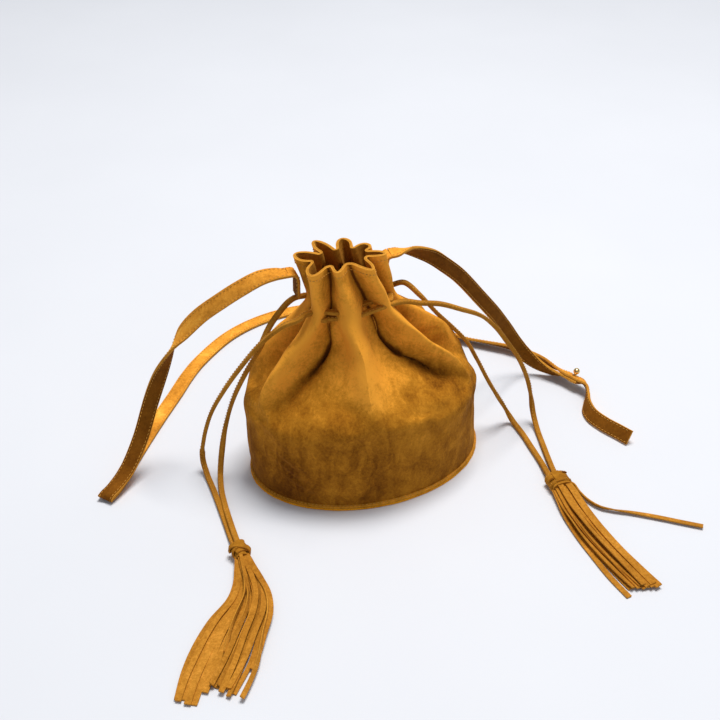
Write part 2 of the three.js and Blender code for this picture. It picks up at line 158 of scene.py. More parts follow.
def circle(sides):
    """The cosine and sine of each of a ring's points."""
    turns = (2 * math.pi * k / sides for k in range(sides))
    return [(math.cos(turn), math.sin(turn)) for turn in turns]


def sweep(pile, line, across, profile, slots):
    """A solid swept along a line. profile is (across, up) pairs, and slots one material
    for each side of it and one for the ends."""
    _, side, up = frames(line, across)
    profile = np.array(profile)
    count, sides = len(line), len(profile)
    points = [line[i] + side[i] * a + up[i] * b for i in range(count) for a, b in profile]
    far = distances(line)
    v = profile[:, 0]
    faces = ring_faces(count, sides, capped=True)
    uvs = [[(far[p // sides], v[p % sides]) for p in face] for face in faces[:-2]]
    uvs += [[(0, v[k]) for k in range(sides)]] * 2
    kinds = list(slots[:sides]) * (count - 1)
    pile.add(points, faces, kinds + [slots[-1]] * 2, uvs)


# A stitch from end to end: how far along, how far it stands out, and its size there.
STITCH_ARCH = ((0, -0.35, 0.5), (0.2, 0.25, 1), (0.5, 0.5, 1), (0.8, 0.25, 1), (1, -0.35, 0.5))
STITCH_SIDES = 5


def stitch(pile, start, end, up, thick, slot):
    """One stitch: a short thread that arches out of the surface between two points."""
    start, end, up = Vector(start), Vector(end), Vector(up).normalized()
    across = (end - start).cross(up).normalized()
    points = []
    for t, lift, size in STITCH_ARCH:
        middle = start.lerp(end, t) + up * lift * thick
        for c, s in circle(STITCH_SIDES):
            points.append(middle + across * c * thick / 2 * size + up * s * thick / 2 * size)
    pile.add(points, ring_faces(len(STITCH_ARCH), STITCH_SIDES, capped=True), slot)


def stitch_row(pile, line, ups, pitch, gap, thick, slot):
    """Stitches of one pitch along a line whose surface faces ups. gap is a share of it."""
    far = distances(line)
    count = int(far[-1] / pitch)
    for i in range(count):
        marks = [(i + gap / 2) * pitch, (i + 1 - gap / 2) * pitch]
        start, end = ([np.interp(m, far, line[:, k]) for k in range(3)] for m in marks)
        middle = sum(marks) / 2
        up = [np.interp(middle, far, ups[:, k]) for k in range(3)]
        stitch(pile, start, end, up, thick, slot)


def declare(piece, body, node):
    """Says which body a piece rides on, which node it replaces."""
    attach(piece, body)
    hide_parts(node)


# ---- materials ----
class Graph:
    """A material and short names for the nodes that it is made with."""

    def __init__(self, name):
        self.material = bpy.data.materials.new(name)
        self.material.use_nodes = True
        self.tree = self.material.node_tree
        self.surface = self.tree.nodes["Principled BSDF"]

    def put(self, kind, inputs, output=0, **settings):
        node = self.tree.nodes.new(kind)
        for key, value in settings.items():
            setattr(node, key, value)
        for key, value in inputs.items():
            self.join(node.inputs[key], value)
        return node.outputs[output]

    def join(self, socket, value):
        if isinstance(value, bpy.types.NodeSocket):
            self.tree.links.new(value, socket)
        else:
            socket.default_value = value

    def math(self, operation, a, b=0.0, c=0.0):
        return self.put("ShaderNodeMath", {0: a, 1: b, 2: c}, operation=operation)

    def place(self, stretch=(1, 1, 1)):
        spot = self.put("ShaderNodeTexCoord", {}, output="Object")
        return self.put("ShaderNodeMapping", {"Vector": spot, "Scale": stretch})

    def noise(self, place, scale, detail=4, rough=0.55, warp=0):
        inputs = {"Vector": place, "Scale": scale, "Detail": detail, "Roughness": rough, "Distortion": warp}
        return self.put("ShaderNodeTexNoise", inputs)

    def bump(self, height, distance, strength, below=None):
        inputs = {"Height": height, "Distance": distance, "Strength": strength}
        if below is not None:
            inputs["Normal"] = below
        return self.put("ShaderNodeBump", inputs)

    def wear(self, colour, normal, rough, low, high):
        """Joins the surface: its colour, its bumps, and a roughness from low to high."""
        inputs = self.surface.inputs
        self.join(inputs["Base Color"], colour)
        self.join(inputs["Roughness"], self.put("ShaderNodeMapRange", {0: rough, 3: low, 4: high}))
        self.join(inputs["Normal"], normal)

    def colours(self, factor, stops):
        """A colour ramp: stops are (place, colour), in order."""
        node = self.tree.nodes.new("ShaderNodeValToRGB")
        ramp = node.color_ramp
        ramp.elements[0].position = stops[0][0]
        ramp.elements[0].color = (*stops[0][1], 1)
        ramp.elements[1].position = stops[-1][0]
        ramp.elements[1].color = (*stops[-1][1], 1)
        for at, colour in stops[1:-1]:
            ramp.elements.new(at).color = (*colour, 1)
        self.join(node.inputs[0], factor)
        return node.outputs[0]


def tint(colour, factors):
    return tuple(min(1, c * f) for c, f in zip(colour, factors))


def suede(name, colour, patches=0.9, nap=1.0, scale=1.0, stretch=(1, 1, 0.55), painted_shading=False):
    """Brushed suede: patches where the nap lies either way, over a fine fibre grain, and when asked, painted
    shade and painted highlight read from the mesh.
    """
    g = Graph(name)
    place = g.place()
    drift = g.noise(place, 13 * scale, detail=6, rough=0.62, warp=0.4)
    brushed = g.noise(g.place(stretch), 62 * scale, detail=7, rough=0.68, warp=0.9)
    pores = g.noise(place, 420 * scale, detail=3, rough=0.6)
    fibre = g.noise(place, 1900, detail=2)
    tone = g.math("MULTIPLY_ADD", g.math("SUBTRACT", drift, 0.5), 1.25 * patches, 0.5)
    tone = g.math("MULTIPLY_ADD", g.math("SUBTRACT", brushed, 0.5), 0.95 * patches, tone)
    tone = g.math("MULTIPLY_ADD", g.math("SUBTRACT", pores, 0.5), 0.42 * nap, tone)
    tone = g.math("MULTIPLY_ADD", g.math("SUBTRACT", fibre, 0.5), 0.30 * nap, tone)
    if painted_shading:
        # Painted shade: the mesh's shade attribute darkens the tone in valleys, beside undercuts and low on
        # the wall.
        depth = g.put("ShaderNodeAttribute", {}, output="Fac", attribute_name="painted_shade")
        tone = g.math("MULTIPLY_ADD", depth, -0.5, tone)
        # Painted highlight: the mesh's highlight attribute lightens the tone on crests, near the rim and on
        # the flange.
        painted_highlight = g.put("ShaderNodeAttribute", {}, output="Fac", attribute_name="painted_highlight")
        tone = g.math("MULTIPLY_ADD", painted_highlight, 0.42, tone)
    # The darkest stops are reached mostly through painted shade and the brightest through painted highlight;
    # between them lies the suede's own patchy tone.
    shades = [
        (0, tint(colour, (0.22, 0.14, 0.1))),
        (0.22, tint(colour, (0.5, 0.42, 0.3))),
        (0.42, tint(colour, (0.85, 0.8, 0.7))),
        (0.58, tint(colour, (1.1, 1.1, 1.1))),
        (0.9, tint(colour, (1.95, 2.0, 2.8))),
    ]
    surface = g.bump(brushed, 0.0011, 0.45 * patches)
    surface = g.bump(pores, 0.00045, 0.6 * nap, surface)
    surface = g.bump(fibre, 0.00016, 0.8 * nap, surface)
    g.wear(g.colours(tone, shades), surface, brushed, 0.98, 0.8)
    g.join(g.surface.inputs["Specular IOR Level"], 0.08)
    g.join(g.surface.inputs["Sheen Weight"], 0.1)
    g.join(g.surface.inputs["Sheen Roughness"], 0.5)
    g.join(g.surface.inputs["Sheen Tint"], (*tint(colour, (1.5, 1.9, 4)), 1))
    return g.material


def thread(name, colour):
    """Waxed sewing thread with its twist."""
    g = Graph(name)
    place = g.place()
    twist = g.put("ShaderNodeTexWave", {"Vector": place, "Scale": 900.0, "Distortion": 3.0}, output="Fac")
    dirt = g.noise(place, 500)
    shades = [(0.2, tint(colour, (0.6, 0.6, 0.6))), (0.8, tint(colour, (1.15, 1.15, 1.15)))]
    tone = g.math("MULTIPLY_ADD", twist, 0.4, dirt)
    g.wear(g.colours(tone, shades), g.bump(twist, 0.0001, 0.6), dirt, 0.5, 0.75)
    return g.material


def plated(name, colour):
    """Gold plating with fine hairlines and a little tarnish."""
    g = Graph(name)
    hairlines = g.noise(g.place((1, 1, 9)), 900, detail=3)
    tarnish = g.noise(g.place(), 260, detail=5)
    shades = [(0.3, tint(colour, (0.72, 0.66, 0.55))), (0.6, colour)]
    g.wear(g.colours(tarnish, shades), g.bump(hairlines, 0.00005, 0.25), hairlines, 0.14, 0.34)
    g.join(g.surface.inputs["Metallic"], 1)
    return g.material


def fibreboard(name, colour):
    """Pressed board: short fibres in a dull sheet."""
    g = Graph(name)
    fibres = g.noise(g.place((1, 0.3, 1)), 700, detail=5, warp=1.5)
    shades = [(0.3, tint(colour, (0.6, 0.6, 0.6))), (0.7, tint(colour, (1.2, 1.2, 1.2)))]
    g.wear(g.colours(fibres, shades), g.bump(fibres, 0.0002, 0.7), fibres, 0.85, 0.98)
    return g.material


MUSTARD = (0.46, 0.185, 0.013)
body_suede = suede("body_suede", MUSTARD, painted_shading=True)
flesh_suede = suede("flesh_suede", tint(MUSTARD, (1.05, 1.1, 1.7)), patches=0.5, nap=1.3)
cut_edge = suede("cut_edge", tint(MUSTARD, (1.35, 1.5, 2.6)), patches=0.3, nap=1.4, scale=3)
# The sole's edge: its lighter raw-edge colour, lifted further as painted highlight on a face in shade.
base_edge_raw_and_lit = suede("base_edge_raw_and_lit", tint(MUSTARD, (2.1, 2.15, 1.9)), patches=0.4, nap=1.4, scale=2)
# Lit and shaded copies of the strap suede: the face is brightened as painted light and the back darkened as
# painted shade.
lit_strap_suede = suede("lit_strap_suede", tint(MUSTARD, (1.75, 1.8, 2.8)), patches=0.7, stretch=(1, 1, 1))
shaded_strap_suede = suede("shaded_strap_suede", tint(MUSTARD, (0.42, 0.36, 0.34)), patches=0.6, stretch=(1, 1, 1))
lace_suede = suede("lace_suede", tint(MUSTARD, (0.9, 0.95, 1.3)), patches=0.5, scale=2)
fringe_suede = suede("fringe_suede", tint(MUSTARD, (0.85, 0.88, 1.0)), patches=0.7, scale=2)
gold_thread = thread("gold_thread", tint(MUSTARD, (1.3, 1.5, 2.2)))
gold = plated("gold_plating", (0.86, 0.62, 0.27))
board = fibreboard("fibreboard", (0.17, 0.125, 0.08))


# ---- the gathered wall ----
# Height, half width, half depth, lean to the left, pleat depth and undercut.
WALL = np.array([
    (0, 0.112, 0.079, 0, 0, 0),
    (0.030, 0.1125, 0.080, -0.0015, 0, 0),
    (0.060, 0.1115, 0.080, -0.0025, 0, 0),
    (0.086, 0.111, 0.078, -0.003, 0, 0),
    (0.098, 0.109, 0.076, -0.005, 0.04, 0.045),
    (0.110, 0.106, 0.072, -0.007, 0.17, 0.11),
    (0.130, 0.096, 0.063, -0.010, 0.38, 0.14),
    (0.150, 0.077, 0.051, -0.012, 0.54, 0.09),
    (0.166, 0.057, 0.041, -0.013, 0.60, 0.03),
    (0.180, 0.0435, 0.033, -0.014, 0.64, 0),
    (0.204, 0.042, 0.033, -0.018, 0.58, 0),
    (0.228, 0.044, 0.036, -0.023, 0.52, 0),
])

# Each crest's and valley's direction in degrees: at the shoulder, on the tubes, at the
# lace line and at the rim.
FOLDS = np.array([
    (-164, -156, -153, -143), (-151, -141, -131, -127), (-97, -96, -104, -110), (-40, -56, -70, -84),
    (-29, -42, -46, -64), (-13, -20, -24, -36), (2, -3, -7, -15), (18, 15, 12, 7),
    (32, 32, 32, 30), (50, 51, 52, 51), (68, 69, 70, 72), (88, 88, 88, 90),
    (106, 106, 106, 108), (128, 127, 126, 128), (148, 147, 145, 150), (174, 172, 170, 180),
])
# How far each crest and valley stands out of the even shape at the rim, as a share.
RIM_LOBES = np.array([
    0.02, 0.04, -0.26, -0.06, -0.04, -0.05, -0.10, -0.08, -0.28, -0.16, -0.14, -0.20, 0, -0.15, -0.02, 0.04,
])

SHOULDER = 0.112
TUBES = 0.146
LACE_HEIGHT = 0.180
RIM = 0.228
ROUNDING = 1.4
NARROWING = np.array([3.4, 24.0, 3.4, 2.0, 2.0, 2.0, 2.0, 2.0])
NECK_NARROWING = np.array([2.6, 3.4, 3.0, 1.8, 1.2, 1.2, 1.2, 1.2])
# How much of their depth the neck's pleats also have across the pouch, and how much of
# that change is undone at the rim.
SIDEWAYS = 0.35
SIDEWAYS_UNDONE = 0.6
UNDERCUT_FOLDS = (1, 3)
WALL_FOOT = 0.0057
SUEDE = 0.0016
FACING = 0.0009
FACING_GAP = 0.0003
FACING_BOTTOM = 0.169
SEAMS = (-1, 7, 15)


def smoothstep(value, low, high):
    t = np.clip((value - low) / (high - low), 0, 1)
    return t * t * (3 - 2 * t)


def wall_stations(z):
    """Half width, half depth, lean and pleat depth at each height, smoothly."""
    heights, values = WALL[:, 0], WALL[:, 1:]
    slopes = np.gradient(values, heights, axis=0)
    i = np.clip(np.searchsorted(heights, z) - 1, 0, len(heights) - 2)
    span = (heights[i + 1] - heights[i])[..., None]
    t = (z - heights[i])[..., None] / span
    low, high = values[i], values[i + 1]
    lift = t * t * (3 - 2 * t)
    return mix(low, high, lift) + t * (1 - t) * ((1 - t) * (slopes[i] * span) - t * (slopes[i + 1] * span))


def fold_angle(index, z):
    turns, index = np.divmod(index, len(FOLDS))
    shoulder, tubes, lace, rim = np.moveaxis(FOLDS[index], -1, 0)
    low = smoothstep(z, SHOULDER, TUBES)
    middle = smoothstep(z, TUBES, LACE_HEIGHT)
    high = smoothstep(z, LACE_HEIGHT, RIM)
    return shoulder + (tubes - shoulder) * low + (lace - tubes) * middle + (rim - lace) * high + 360 * turns


def wall_angle(fold, z):
    whole = np.floor(fold).astype(int)
    t = fold - whole
    a, b, c, d = (fold_angle(whole + step, z) for step in (-1, 0, 1, 2))
    bend = (2 * a - 5 * b + 4 * c - d) * t ** 2 + (3 * b - a - 3 * c + d) * t ** 3
    return np.radians(b + ((c - a) * t + bend) / 2)


def wall_reach(fold, z, depth, undercut):
    """How far out the pleated wall stands, as a share of its full reach."""
    crest = np.cos(np.pi * fold / 2) ** 2
    nearest = np.round(fold / 2).astype(int) % len(NARROWING)
    narrow = mix(NARROWING[nearest], NECK_NARROWING[nearest], smoothstep(z, TUBES, LACE_HEIGHT))
    turn = fold % len(FOLDS)
    beside = sum(np.clip(1 - np.abs(turn - valley) / 0.8, 0, 1) ** 2 for valley in UNDERCUT_FOLDS)
    whole = np.floor(fold).astype(int)
    lobes = mix(*(RIM_LOBES[(whole + step) % len(FOLDS)] for step in (0, 1)), smoothstep(fold - whole, 0, 1))
    reach = 1 - depth * (1 - crest ** narrow) - undercut * beside
    return reach * (1 + lobes * smoothstep(z, LACE_HEIGHT, RIM))


def wall_outline(fold, z):
    half_width, half_depth, lean, depth, undercut = np.moveaxis(wall_stations(z), -1, 0)
    angle = wall_angle(fold + ROUNDING * depth * np.sin(np.pi * fold) / np.pi, z)
    reach = wall_reach(fold, z, depth, undercut)
    undone = SIDEWAYS_UNDONE * smoothstep(z, LACE_HEIGHT, RIM)
    sideways = mix(1, SIDEWAYS, smoothstep(z, TUBES, LACE_HEIGHT) - undone)
    x = lean + half_width * (1 - sideways * (1 - reach)) * np.cos(angle)
    y = half_depth * reach * np.sin(angle)
    return np.stack([x, y, z], axis=-1)


def wall_normals(points):
    """Square to a grid of points whose rows go round the pouch and columns up it."""
    round_it = np.gradient(points, axis=1)
    up_it = np.gradient(points, axis=0)
    return unit(np.cross(round_it, up_it))


COLUMNS_PER_FOLD = 18
ROWS = 80


def wall_grid():
    """The wall's outer face: one closed ring of points at each height."""
    folds = SEAMS[0] + np.arange(len(FOLDS) * COLUMNS_PER_FOLD + 1) / COLUMNS_PER_FOLD
    heights = mix(WALL_FOOT, RIM, np.linspace(0, 1, ROWS + 1))
    fold, z = np.meshgrid(folds, heights)
    return fold, wall_outline(fold, z)


DENTS = 0.0021
WRINKLES = 0.0006


def crumple(points, normals):
    """Moves the wall in and out by the soft dents and creases of handled suede."""
    moved = points.copy()
    for i in np.ndindex(points.shape[:2]):
        x, y, z = points[i]
        free = float(smoothstep(z, 0.004, 0.03) * (1 - 0.6 * smoothstep(z, 0.150, 0.180)))
        dents = noise.fractal(Vector((x, y, z * 0.8)) * 17, 0.9, 2.1, 3)
        creases = 1 - abs(noise.noise(Vector((x * 1.5 + y * 0.4, y * 1.3, z * 0.8)) * 34)) * 2
        moved[i] += normals[i] * free * (DENTS * dents + WRINKLES * max(0.0, creases - 0.35))
    return moved


# Where the wall is creased low on its left, as (x, z) lines across the front.
CREASES = (
    ((-0.105, 0.058), (-0.083, 0.041)),
    ((-0.101, 0.044), (-0.074, 0.027)),
    ((-0.096, 0.031), (-0.070, 0.015)),
)
GROOVE = 0.0016
SWELL = 0.0012


def crease(points, normals):
    """Presses the low creases into the front of the wall, each with a soft swell above it."""
    flat = points[..., ::2]
    move = 0
    for start, end in np.array(CREASES):
        along = unit(end - start)
        reach = (flat - start) @ along
        middle = np.linalg.norm(end - start) / 2
        above = (flat - start) @ np.array((-along[1], along[0]))
        fade = np.exp(-((reach - middle) / middle) ** 2) * (points[..., 1] < 0)
        groove = np.exp(-(above / 0.0022) ** 2)
        swell = np.exp(-((above - 0.0048) / 0.0035) ** 2)
        move = move + fade * (SWELL * swell - GROOVE * groove)
    return points + normals * move[..., None]


SETTLING_FRAMES = 26
# The furthest that settling may move a point.
SETTLING_REACH = 0.0022


def settle(points):
    """Lets the wall sag a little as cloth between its foot and the drawn neck."""
    rows, columns = points.shape[0], points.shape[1] - 1
    mesh = bpy.data.meshes.new("settling")
    faces = ring_faces(rows, columns)
    mesh.from_pydata(points[:, :-1].reshape(-1, 3).tolist(), [], faces)
    cloth = bpy.data.objects.new("settling", mesh)
    scene.collection.objects.link(cloth)
    held = cloth.vertex_groups.new(name="held")
    heights = points[:, 0, 2]
    for row in range(rows):
        weight = max(1 - smoothstep(heights[row], 0.040, 0.095), smoothstep(heights[row], 0.125, 0.160))
        held.add(list(range(row * columns, (row + 1) * columns)), float(weight), "REPLACE")
    settings = cloth.modifiers.new("cloth", "CLOTH").settings
    settings.quality = 6
    settings.mass = 0.25
    settings.tension_stiffness = 12
    settings.compression_stiffness = 6
    settings.shear_stiffness = 4
    settings.bending_stiffness = 2
    settings.tension_damping = 12
    settings.compression_damping = 12
    settings.vertex_group_mass = "held"
    settings.shrink_min = -0.008
    settings.effector_weights.gravity = 0.05
    for step in range(1, SETTLING_FRAMES + 1):
        scene.frame_set(step)
    shape = cloth.evaluated_get(bpy.context.evaluated_depsgraph_get()).to_mesh()
    settled = np.empty(len(shape.vertices) * 3)
    shape.vertices.foreach_get("co", settled)
    bpy.data.objects.remove(cloth)
    scene.frame_set(1)
    settled = settled.reshape(rows, columns, 3)
    settled = np.concatenate([settled, settled[:, :1]], axis=1)
    move = settled - points
    length = np.linalg.norm(move, axis=-1, keepdims=True)
    return points + move * np.minimum(1, SETTLING_REACH / np.maximum(length, 1e-9))


def grid_faces(rows, columns, flip=False):
    faces = [
        [r * columns + c, r * columns + c + 1, (r + 1) * columns + c + 1, (r + 1) * columns + c]
        for r in range(rows - 1)
        for c in range(columns - 1)
    ]
    return [face[::-1] for face in faces] if flip else faces


def shell(name, outer, inner, materials, painted_shade, painted_highlight):
    """A closed skin between two grids of points, with cut edges all round."""
    rows, columns = outer.shape[:2]
    total = rows * columns
    pile = Pile()
    points = [*outer.reshape(-1, 3), *inner.reshape(-1, 3)]
    outer_faces = grid_faces(rows, columns)
    inner_faces = [[total + k for k in face] for face in grid_faces(rows, columns, flip=True)]
    border = [r * columns for r in range(rows)][::-1] + list(range(columns))
    border += [r * columns + columns - 1 for r in range(rows)]
    border += [(rows - 1) * columns + c for c in range(columns)][::-1]
    border = [k for i, k in enumerate(border) if k != border[i - 1]]
    edge_faces = [[a, total + a, total + b, b] for a, b in zip(border, border[1:] + border[:1])]
    slots = [0] * len(outer_faces) + [1] * len(inner_faces) + [2] * len(edge_faces)
    pile.add(points, outer_faces + inner_faces + edge_faces, slots)
    piece = pile.build(name, materials)
    # These two attributes carry painted shade and painted highlight for the suede's colour.
    for label, values in (("painted_shade", painted_shade), ("painted_highlight", painted_highlight)):
        layer = piece.data.attributes.new(label, "FLOAT", "POINT")
        layer.data.foreach_set("value", np.tile(values.ravel(), 2).astype(np.float32))
    crease_edges(piece)
    piece.modifiers.new("smooth", "SUBSURF").levels = 1
    return piece


def crease_edges(piece, angle=55, crease=0.75):
    shape = bmesh.new()
    shape.from_mesh(piece.data)
    layer = shape.edges.layers.float.new("crease_edge")
    for edge in shape.edges:
        if len(edge.link_faces) == 2 and edge.calc_face_angle(0) > math.radians(angle):
            edge[layer] = crease
    shape.to_mesh(piece.data)
    shape.free()


# The flange at the wall's foot, in millimetres: its outer side as (reach, height) and the
# heights of as many points up the inside.
FLANGE_OUTSIDE = ((1.6, 2.5), (2.1, 2.6), (2.3, 3.6), (2.1, 4.7), (1.6, 5.0), (0.8, 5.0), (0.25, 5.3))
FLANGE_INSIDE = (2.5, 2.6, 3.2, 3.8, 4.4, 4.9, 5.3)
# How far the flange is lifted through the painted highlight: its raw edge is lighter, and painted highlight
# also lifts it out of its shade.
FLANGE_HIGHLIGHT = 0.35


def build_walls():
    """The two wall panels with their flanges, and their facings."""
    fold, points = wall_grid()
    normals = wall_normals(points)
    points = crease(crumple(points, normals), normals)
    points = settle(points)
    points[:, -1] = points[:, 0]
    normals = wall_normals(points)
    depth, undercut = np.moveaxis(wall_stations(points[..., 2])[..., 3:], -1, 0)
    valley = np.sin(np.pi * fold / 2) ** 2
    low = 1 - smoothstep(points[..., 2], 0.045, 0.100)
    turn = fold % len(FOLDS)
    under = sum(np.clip(1 - np.abs(turn - number) / 0.45, 0, 1) for number in UNDERCUT_FOLDS)
    # Painted shade: darker in the deep pleat valleys, beside the undercut folds and towards the bottom of
    # the wall.
    painted_shade = (
        1.1 * smoothstep(valley ** 2 * depth, 0.14, 0.50)
        + 0.6 * under * smoothstep(undercut, 0.01, 0.1)
        + 0.4 * low
    )
    # Painted highlight on the pleat crests; the tone is also lighter towards the rim.
    painted_highlight = (1 - valley) ** 2 * smoothstep(depth, 0.02, 0.3) + smoothstep(points[..., 2], 0.221, RIM) * 0.5

    foot = points[:1] * (1, 1, 0)
    out = unit(foot)
    flange = [foot + out * reach * MM + (0, 0, z * MM) for reach, z in FLANGE_OUTSIDE]
    outer = np.concatenate([*flange, points])
    thick = [foot - out * SUEDE + (0, 0, z * MM) for z in FLANGE_INSIDE]
    inner = np.concatenate([*thick, points - normals * SUEDE])
    pad = ((len(flange), 0), (0, 0))
    painted_shade_all = np.pad(painted_shade, pad)
    painted_highlight_all = np.pad(painted_highlight, pad, constant_values=FLANGE_HIGHLIGHT)

    for name, first, last in (("front", SEAMS[0], SEAMS[1]), ("back", SEAMS[1], SEAMS[2])):
        start, end = ((seam - SEAMS[0]) * COLUMNS_PER_FOLD for seam in (first, last))
        columns = slice(start, end + 1)
        skin = [part[:, columns].copy() for part in (outer, inner)]
        for part in skin:
            tuck_seams(part)
        looks = (body_suede, flesh_suede, cut_edge)
        wall = shell(f"wall_{name}", *skin, looks, painted_shade_all[:, columns], painted_highlight_all[:, columns])
        declare(wall, "pouch", f"{name}_panel")

        high = points[:, 0, 2] > FACING_BOTTOM
        band, band_normals = points[high][:, columns], normals[high][:, columns]
        sunk = SUEDE + FACING_GAP * 0.5
        facing = shell(
            f"facing_{name}",
            band - band_normals * sunk,
            band - band_normals * (sunk + FACING),
            (flesh_suede, flesh_suede, cut_edge),
            painted_shade[high][:, columns] * 0.5,
            painted_highlight[high][:, columns],
        )
        declare(facing, "pouch", f"{name}_facing")
    return points, normals, foot, out


def tuck_seams(part):
    """Draws each side edge in a little, where the two panels are sewn together."""
    along = part[:, 1] - part[:, 0]
    part[:, 0] += along * 0.12
    along = part[:, -2] - part[:, -1]
    part[:, -1] += along * 0.12


# ---- base ----
def oval_rings(foot, out, profile, centre_heights):
    """A closed plate: rings at (reach outward, height), closed at a middle point below and above."""
    count = len(foot)
    rings = [foot * (1, 1, 0) + out * reach + (0, 0, z) for reach, z in profile]
    points = [*np.concatenate(rings), (0, 0, centre_heights[0]), (0, 0, centre_heights[1])]
    faces = ring_faces(len(rings), count)
    low, high = len(points) - 2, len(points) - 1
    faces += [[low, (k + 1) % count, k] for k in range(count)]
    first = (len(rings) - 1) * count
    faces += [[high, first + k, first + (k + 1) % count] for k in range(count)]
    return points, faces


SOLE = 0.0022
# How far below the rim its seam is.
RIM_SEAM = 0.0052


def build_base(foot, out):
    """The sole with its raw edge, and the seam that joins it to the walls."""
    foot, out = foot[0, :-1], out[0, :-1]
    turn = np.linspace(0, 2 * math.pi, len(foot), endpoint=False)
    ragged = (0.00012 * np.sin(turn * 37) + 0.0001 * np.sin(turn * 61 + 1))[:, None]
    edge = foot + out * ragged
    profile = (
        (-0.040, 0.0), (-0.004, 0.0), (0.0016, 0.0001), (0.0022, 0.0005), (0.0023, 0.0011),
        (0.0022, 0.0017), (0.0016, SOLE), (-0.004, SOLE), (-0.040, SOLE),
    )
    pile = Pile()
    pile.add(*oval_rings(edge, out, profile, (0, SOLE)), 0)
    sole = pile.build("sole", [base_edge_raw_and_lit], sharp=70)
    declare(sole, "pouch", "base_panel")

    pile = Pile()
    loop = np.concatenate([foot, foot[:1]]) * (1, 1, 0)
    loop += np.concatenate([out, out[:1]]) * 0.0012 + (0, 0, 0.00505)
    stitch_row(pile, loop, np.tile((0, 0, 1.0), (len(loop), 1)), 0.0036, 0.3, 0.0008, 0)
    return pile


def finish_stitches(pile, points, normals):
    """Topstitching round the rim, in one piece with the base seam."""
    high = points[:, 0, 2]
    row = int(np.argmin(abs(high - (RIM - RIM_SEAM))))
    line, ups = points[row], normals[row]
    stitch_row(pile, line + ups * 0.0001, ups, 0.0032, 0.32, 0.0007, 0)
    stitches = pile.build("seam_stitches", [gold_thread])
    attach(stitches, "pouch")


# ---- laces ----
NECK_X = -0.014
LACE_Z = {"left": 0.1834, "right": 0.1766}
LACE_WIDTH = 0.0054
LACE_THICKNESS = 0.0035
# Each lace's run outside the neck, down to its tassel.
LACE_ENDS = {
    ("left", "front"): [
        (-0.068, -0.0155, 0.1815), (-0.081, -0.010, 0.174), (-0.098, -0.001, 0.155), (-0.117, 0.008, 0.126),
        (-0.133, 0.015, 0.098), (-0.145, 0.022, 0.070), (-0.153, 0.027, 0.038), (-0.156, 0.027, 0.015),
        (-0.1555, 0.016, 0.0042), (-0.155, -0.010, 0.003), (-0.1555, -0.050, 0.003),
        (-0.1562, -0.080, 0.0034), (-0.1560, -0.0922, 0.0056),
    ],
    ("left", "back"): [
        (-0.067, 0.016, 0.181), (-0.076, 0.013, 0.175), (-0.088, 0.009, 0.163), (-0.099, 0.005, 0.145),
        (-0.107, 0.008, 0.128), (-0.115, 0.010, 0.112), (-0.125, 0.013, 0.088), (-0.133, 0.016, 0.058),
        (-0.139, 0.015, 0.030), (-0.144, 0.008, 0.007), (-0.148, -0.010, 0.0032), (-0.1502, -0.028, 0.0044),
        (-0.1518, -0.048, 0.0064), (-0.1530, -0.080, 0.0068), (-0.1530, -0.0922, 0.0076),
    ],
    ("right", "front"): [
        (0.045, -0.019, 0.176), (0.064, -0.021, 0.172), (0.085, -0.022, 0.162), (0.108, -0.018, 0.147),
        (0.126, -0.015, 0.127), (0.140, -0.013, 0.106), (0.156, -0.011, 0.080), (0.167, -0.011, 0.054),
        (0.1725, -0.012, 0.032), (0.1745, -0.017, 0.013), (0.1725, -0.032, 0.0036), (0.167, -0.056, 0.003),
        (0.1615, -0.080, 0.0032), (0.1572, -0.098, 0.0052), (0.1560, -0.1065, 0.0068),
    ],
    ("right", "back"): [
        (0.042, 0.012, 0.180), (0.055, 0.004, 0.168), (0.071, 0.001, 0.147), (0.088, 0, 0.127),
        (0.104, 0, 0.106), (0.114, -0.003, 0.086), (0.124, -0.005, 0.064), (0.135, -0.008, 0.042),
        (0.147, -0.007, 0.020), (0.1545, -0.012, 0.005), (0.156, -0.031, 0.003), (0.155, -0.052, 0.003),
        (0.1535, -0.078, 0.0032), (0.1508, -0.098, 0.0052), (0.1505, -0.1065, 0.0068),
    ],
}
# Each lace's run through the pleats of the neck, innermost point first.
LACE_RUNS = {
    ("left", "front"): [
        (0.014, -0.012, 0.1834), (-0.004, -0.013, 0.1834), (-0.022, -0.0185, 0.1834),
        (-0.034, -0.0185, 0.1832), (-0.044, -0.0125, 0.183), (-0.053, -0.0098, 0.182),
        (-0.060, -0.0105, 0.182),
    ],
    ("left", "back"): [(x, 0.017, 0.1834) for x in (0.014, -0.024, -0.052, -0.060)],
    ("right", "front"): [
        (-0.042, -0.015, 0.1766), (-0.032, -0.018, 0.1766), (-0.020, -0.0215, 0.1775),
        (-0.004, -0.0225, 0.180), (0.008, -0.0215, 0.1815), (0.020, -0.0195, 0.1815),
        (0.032, -0.018, 0.180),
    ],
    ("right", "back"): [(x, 0.017, 0.1766) for x in (-0.042, -0.004, 0.024, 0.032)],
}
# Each bend inside the pleats, as (reach from the neck's middle, distance to the back).
LACE_BEND = ((0.029, 0.017), (0.0315, 0.0165), (0.0345, 0.008))


def level_across(line, window=9):
    """A direction across a line that stays level and turns smoothly."""
    along = unit(np.gradient(line, axis=0))
    across = np.cross(along, (0, 0, 1))
    for i in range(1, len(across)):
        if across[i] @ across[i - 1] < 0:
            across[i] *= -1
    kernel = np.ones(window) / window
    padded = np.pad(across, ((window // 2, window // 2), (0, 0)), "edge")
    return unit(np.stack([np.convolve(padded[:, k], kernel, "valid") for k in range(3)], axis=1))


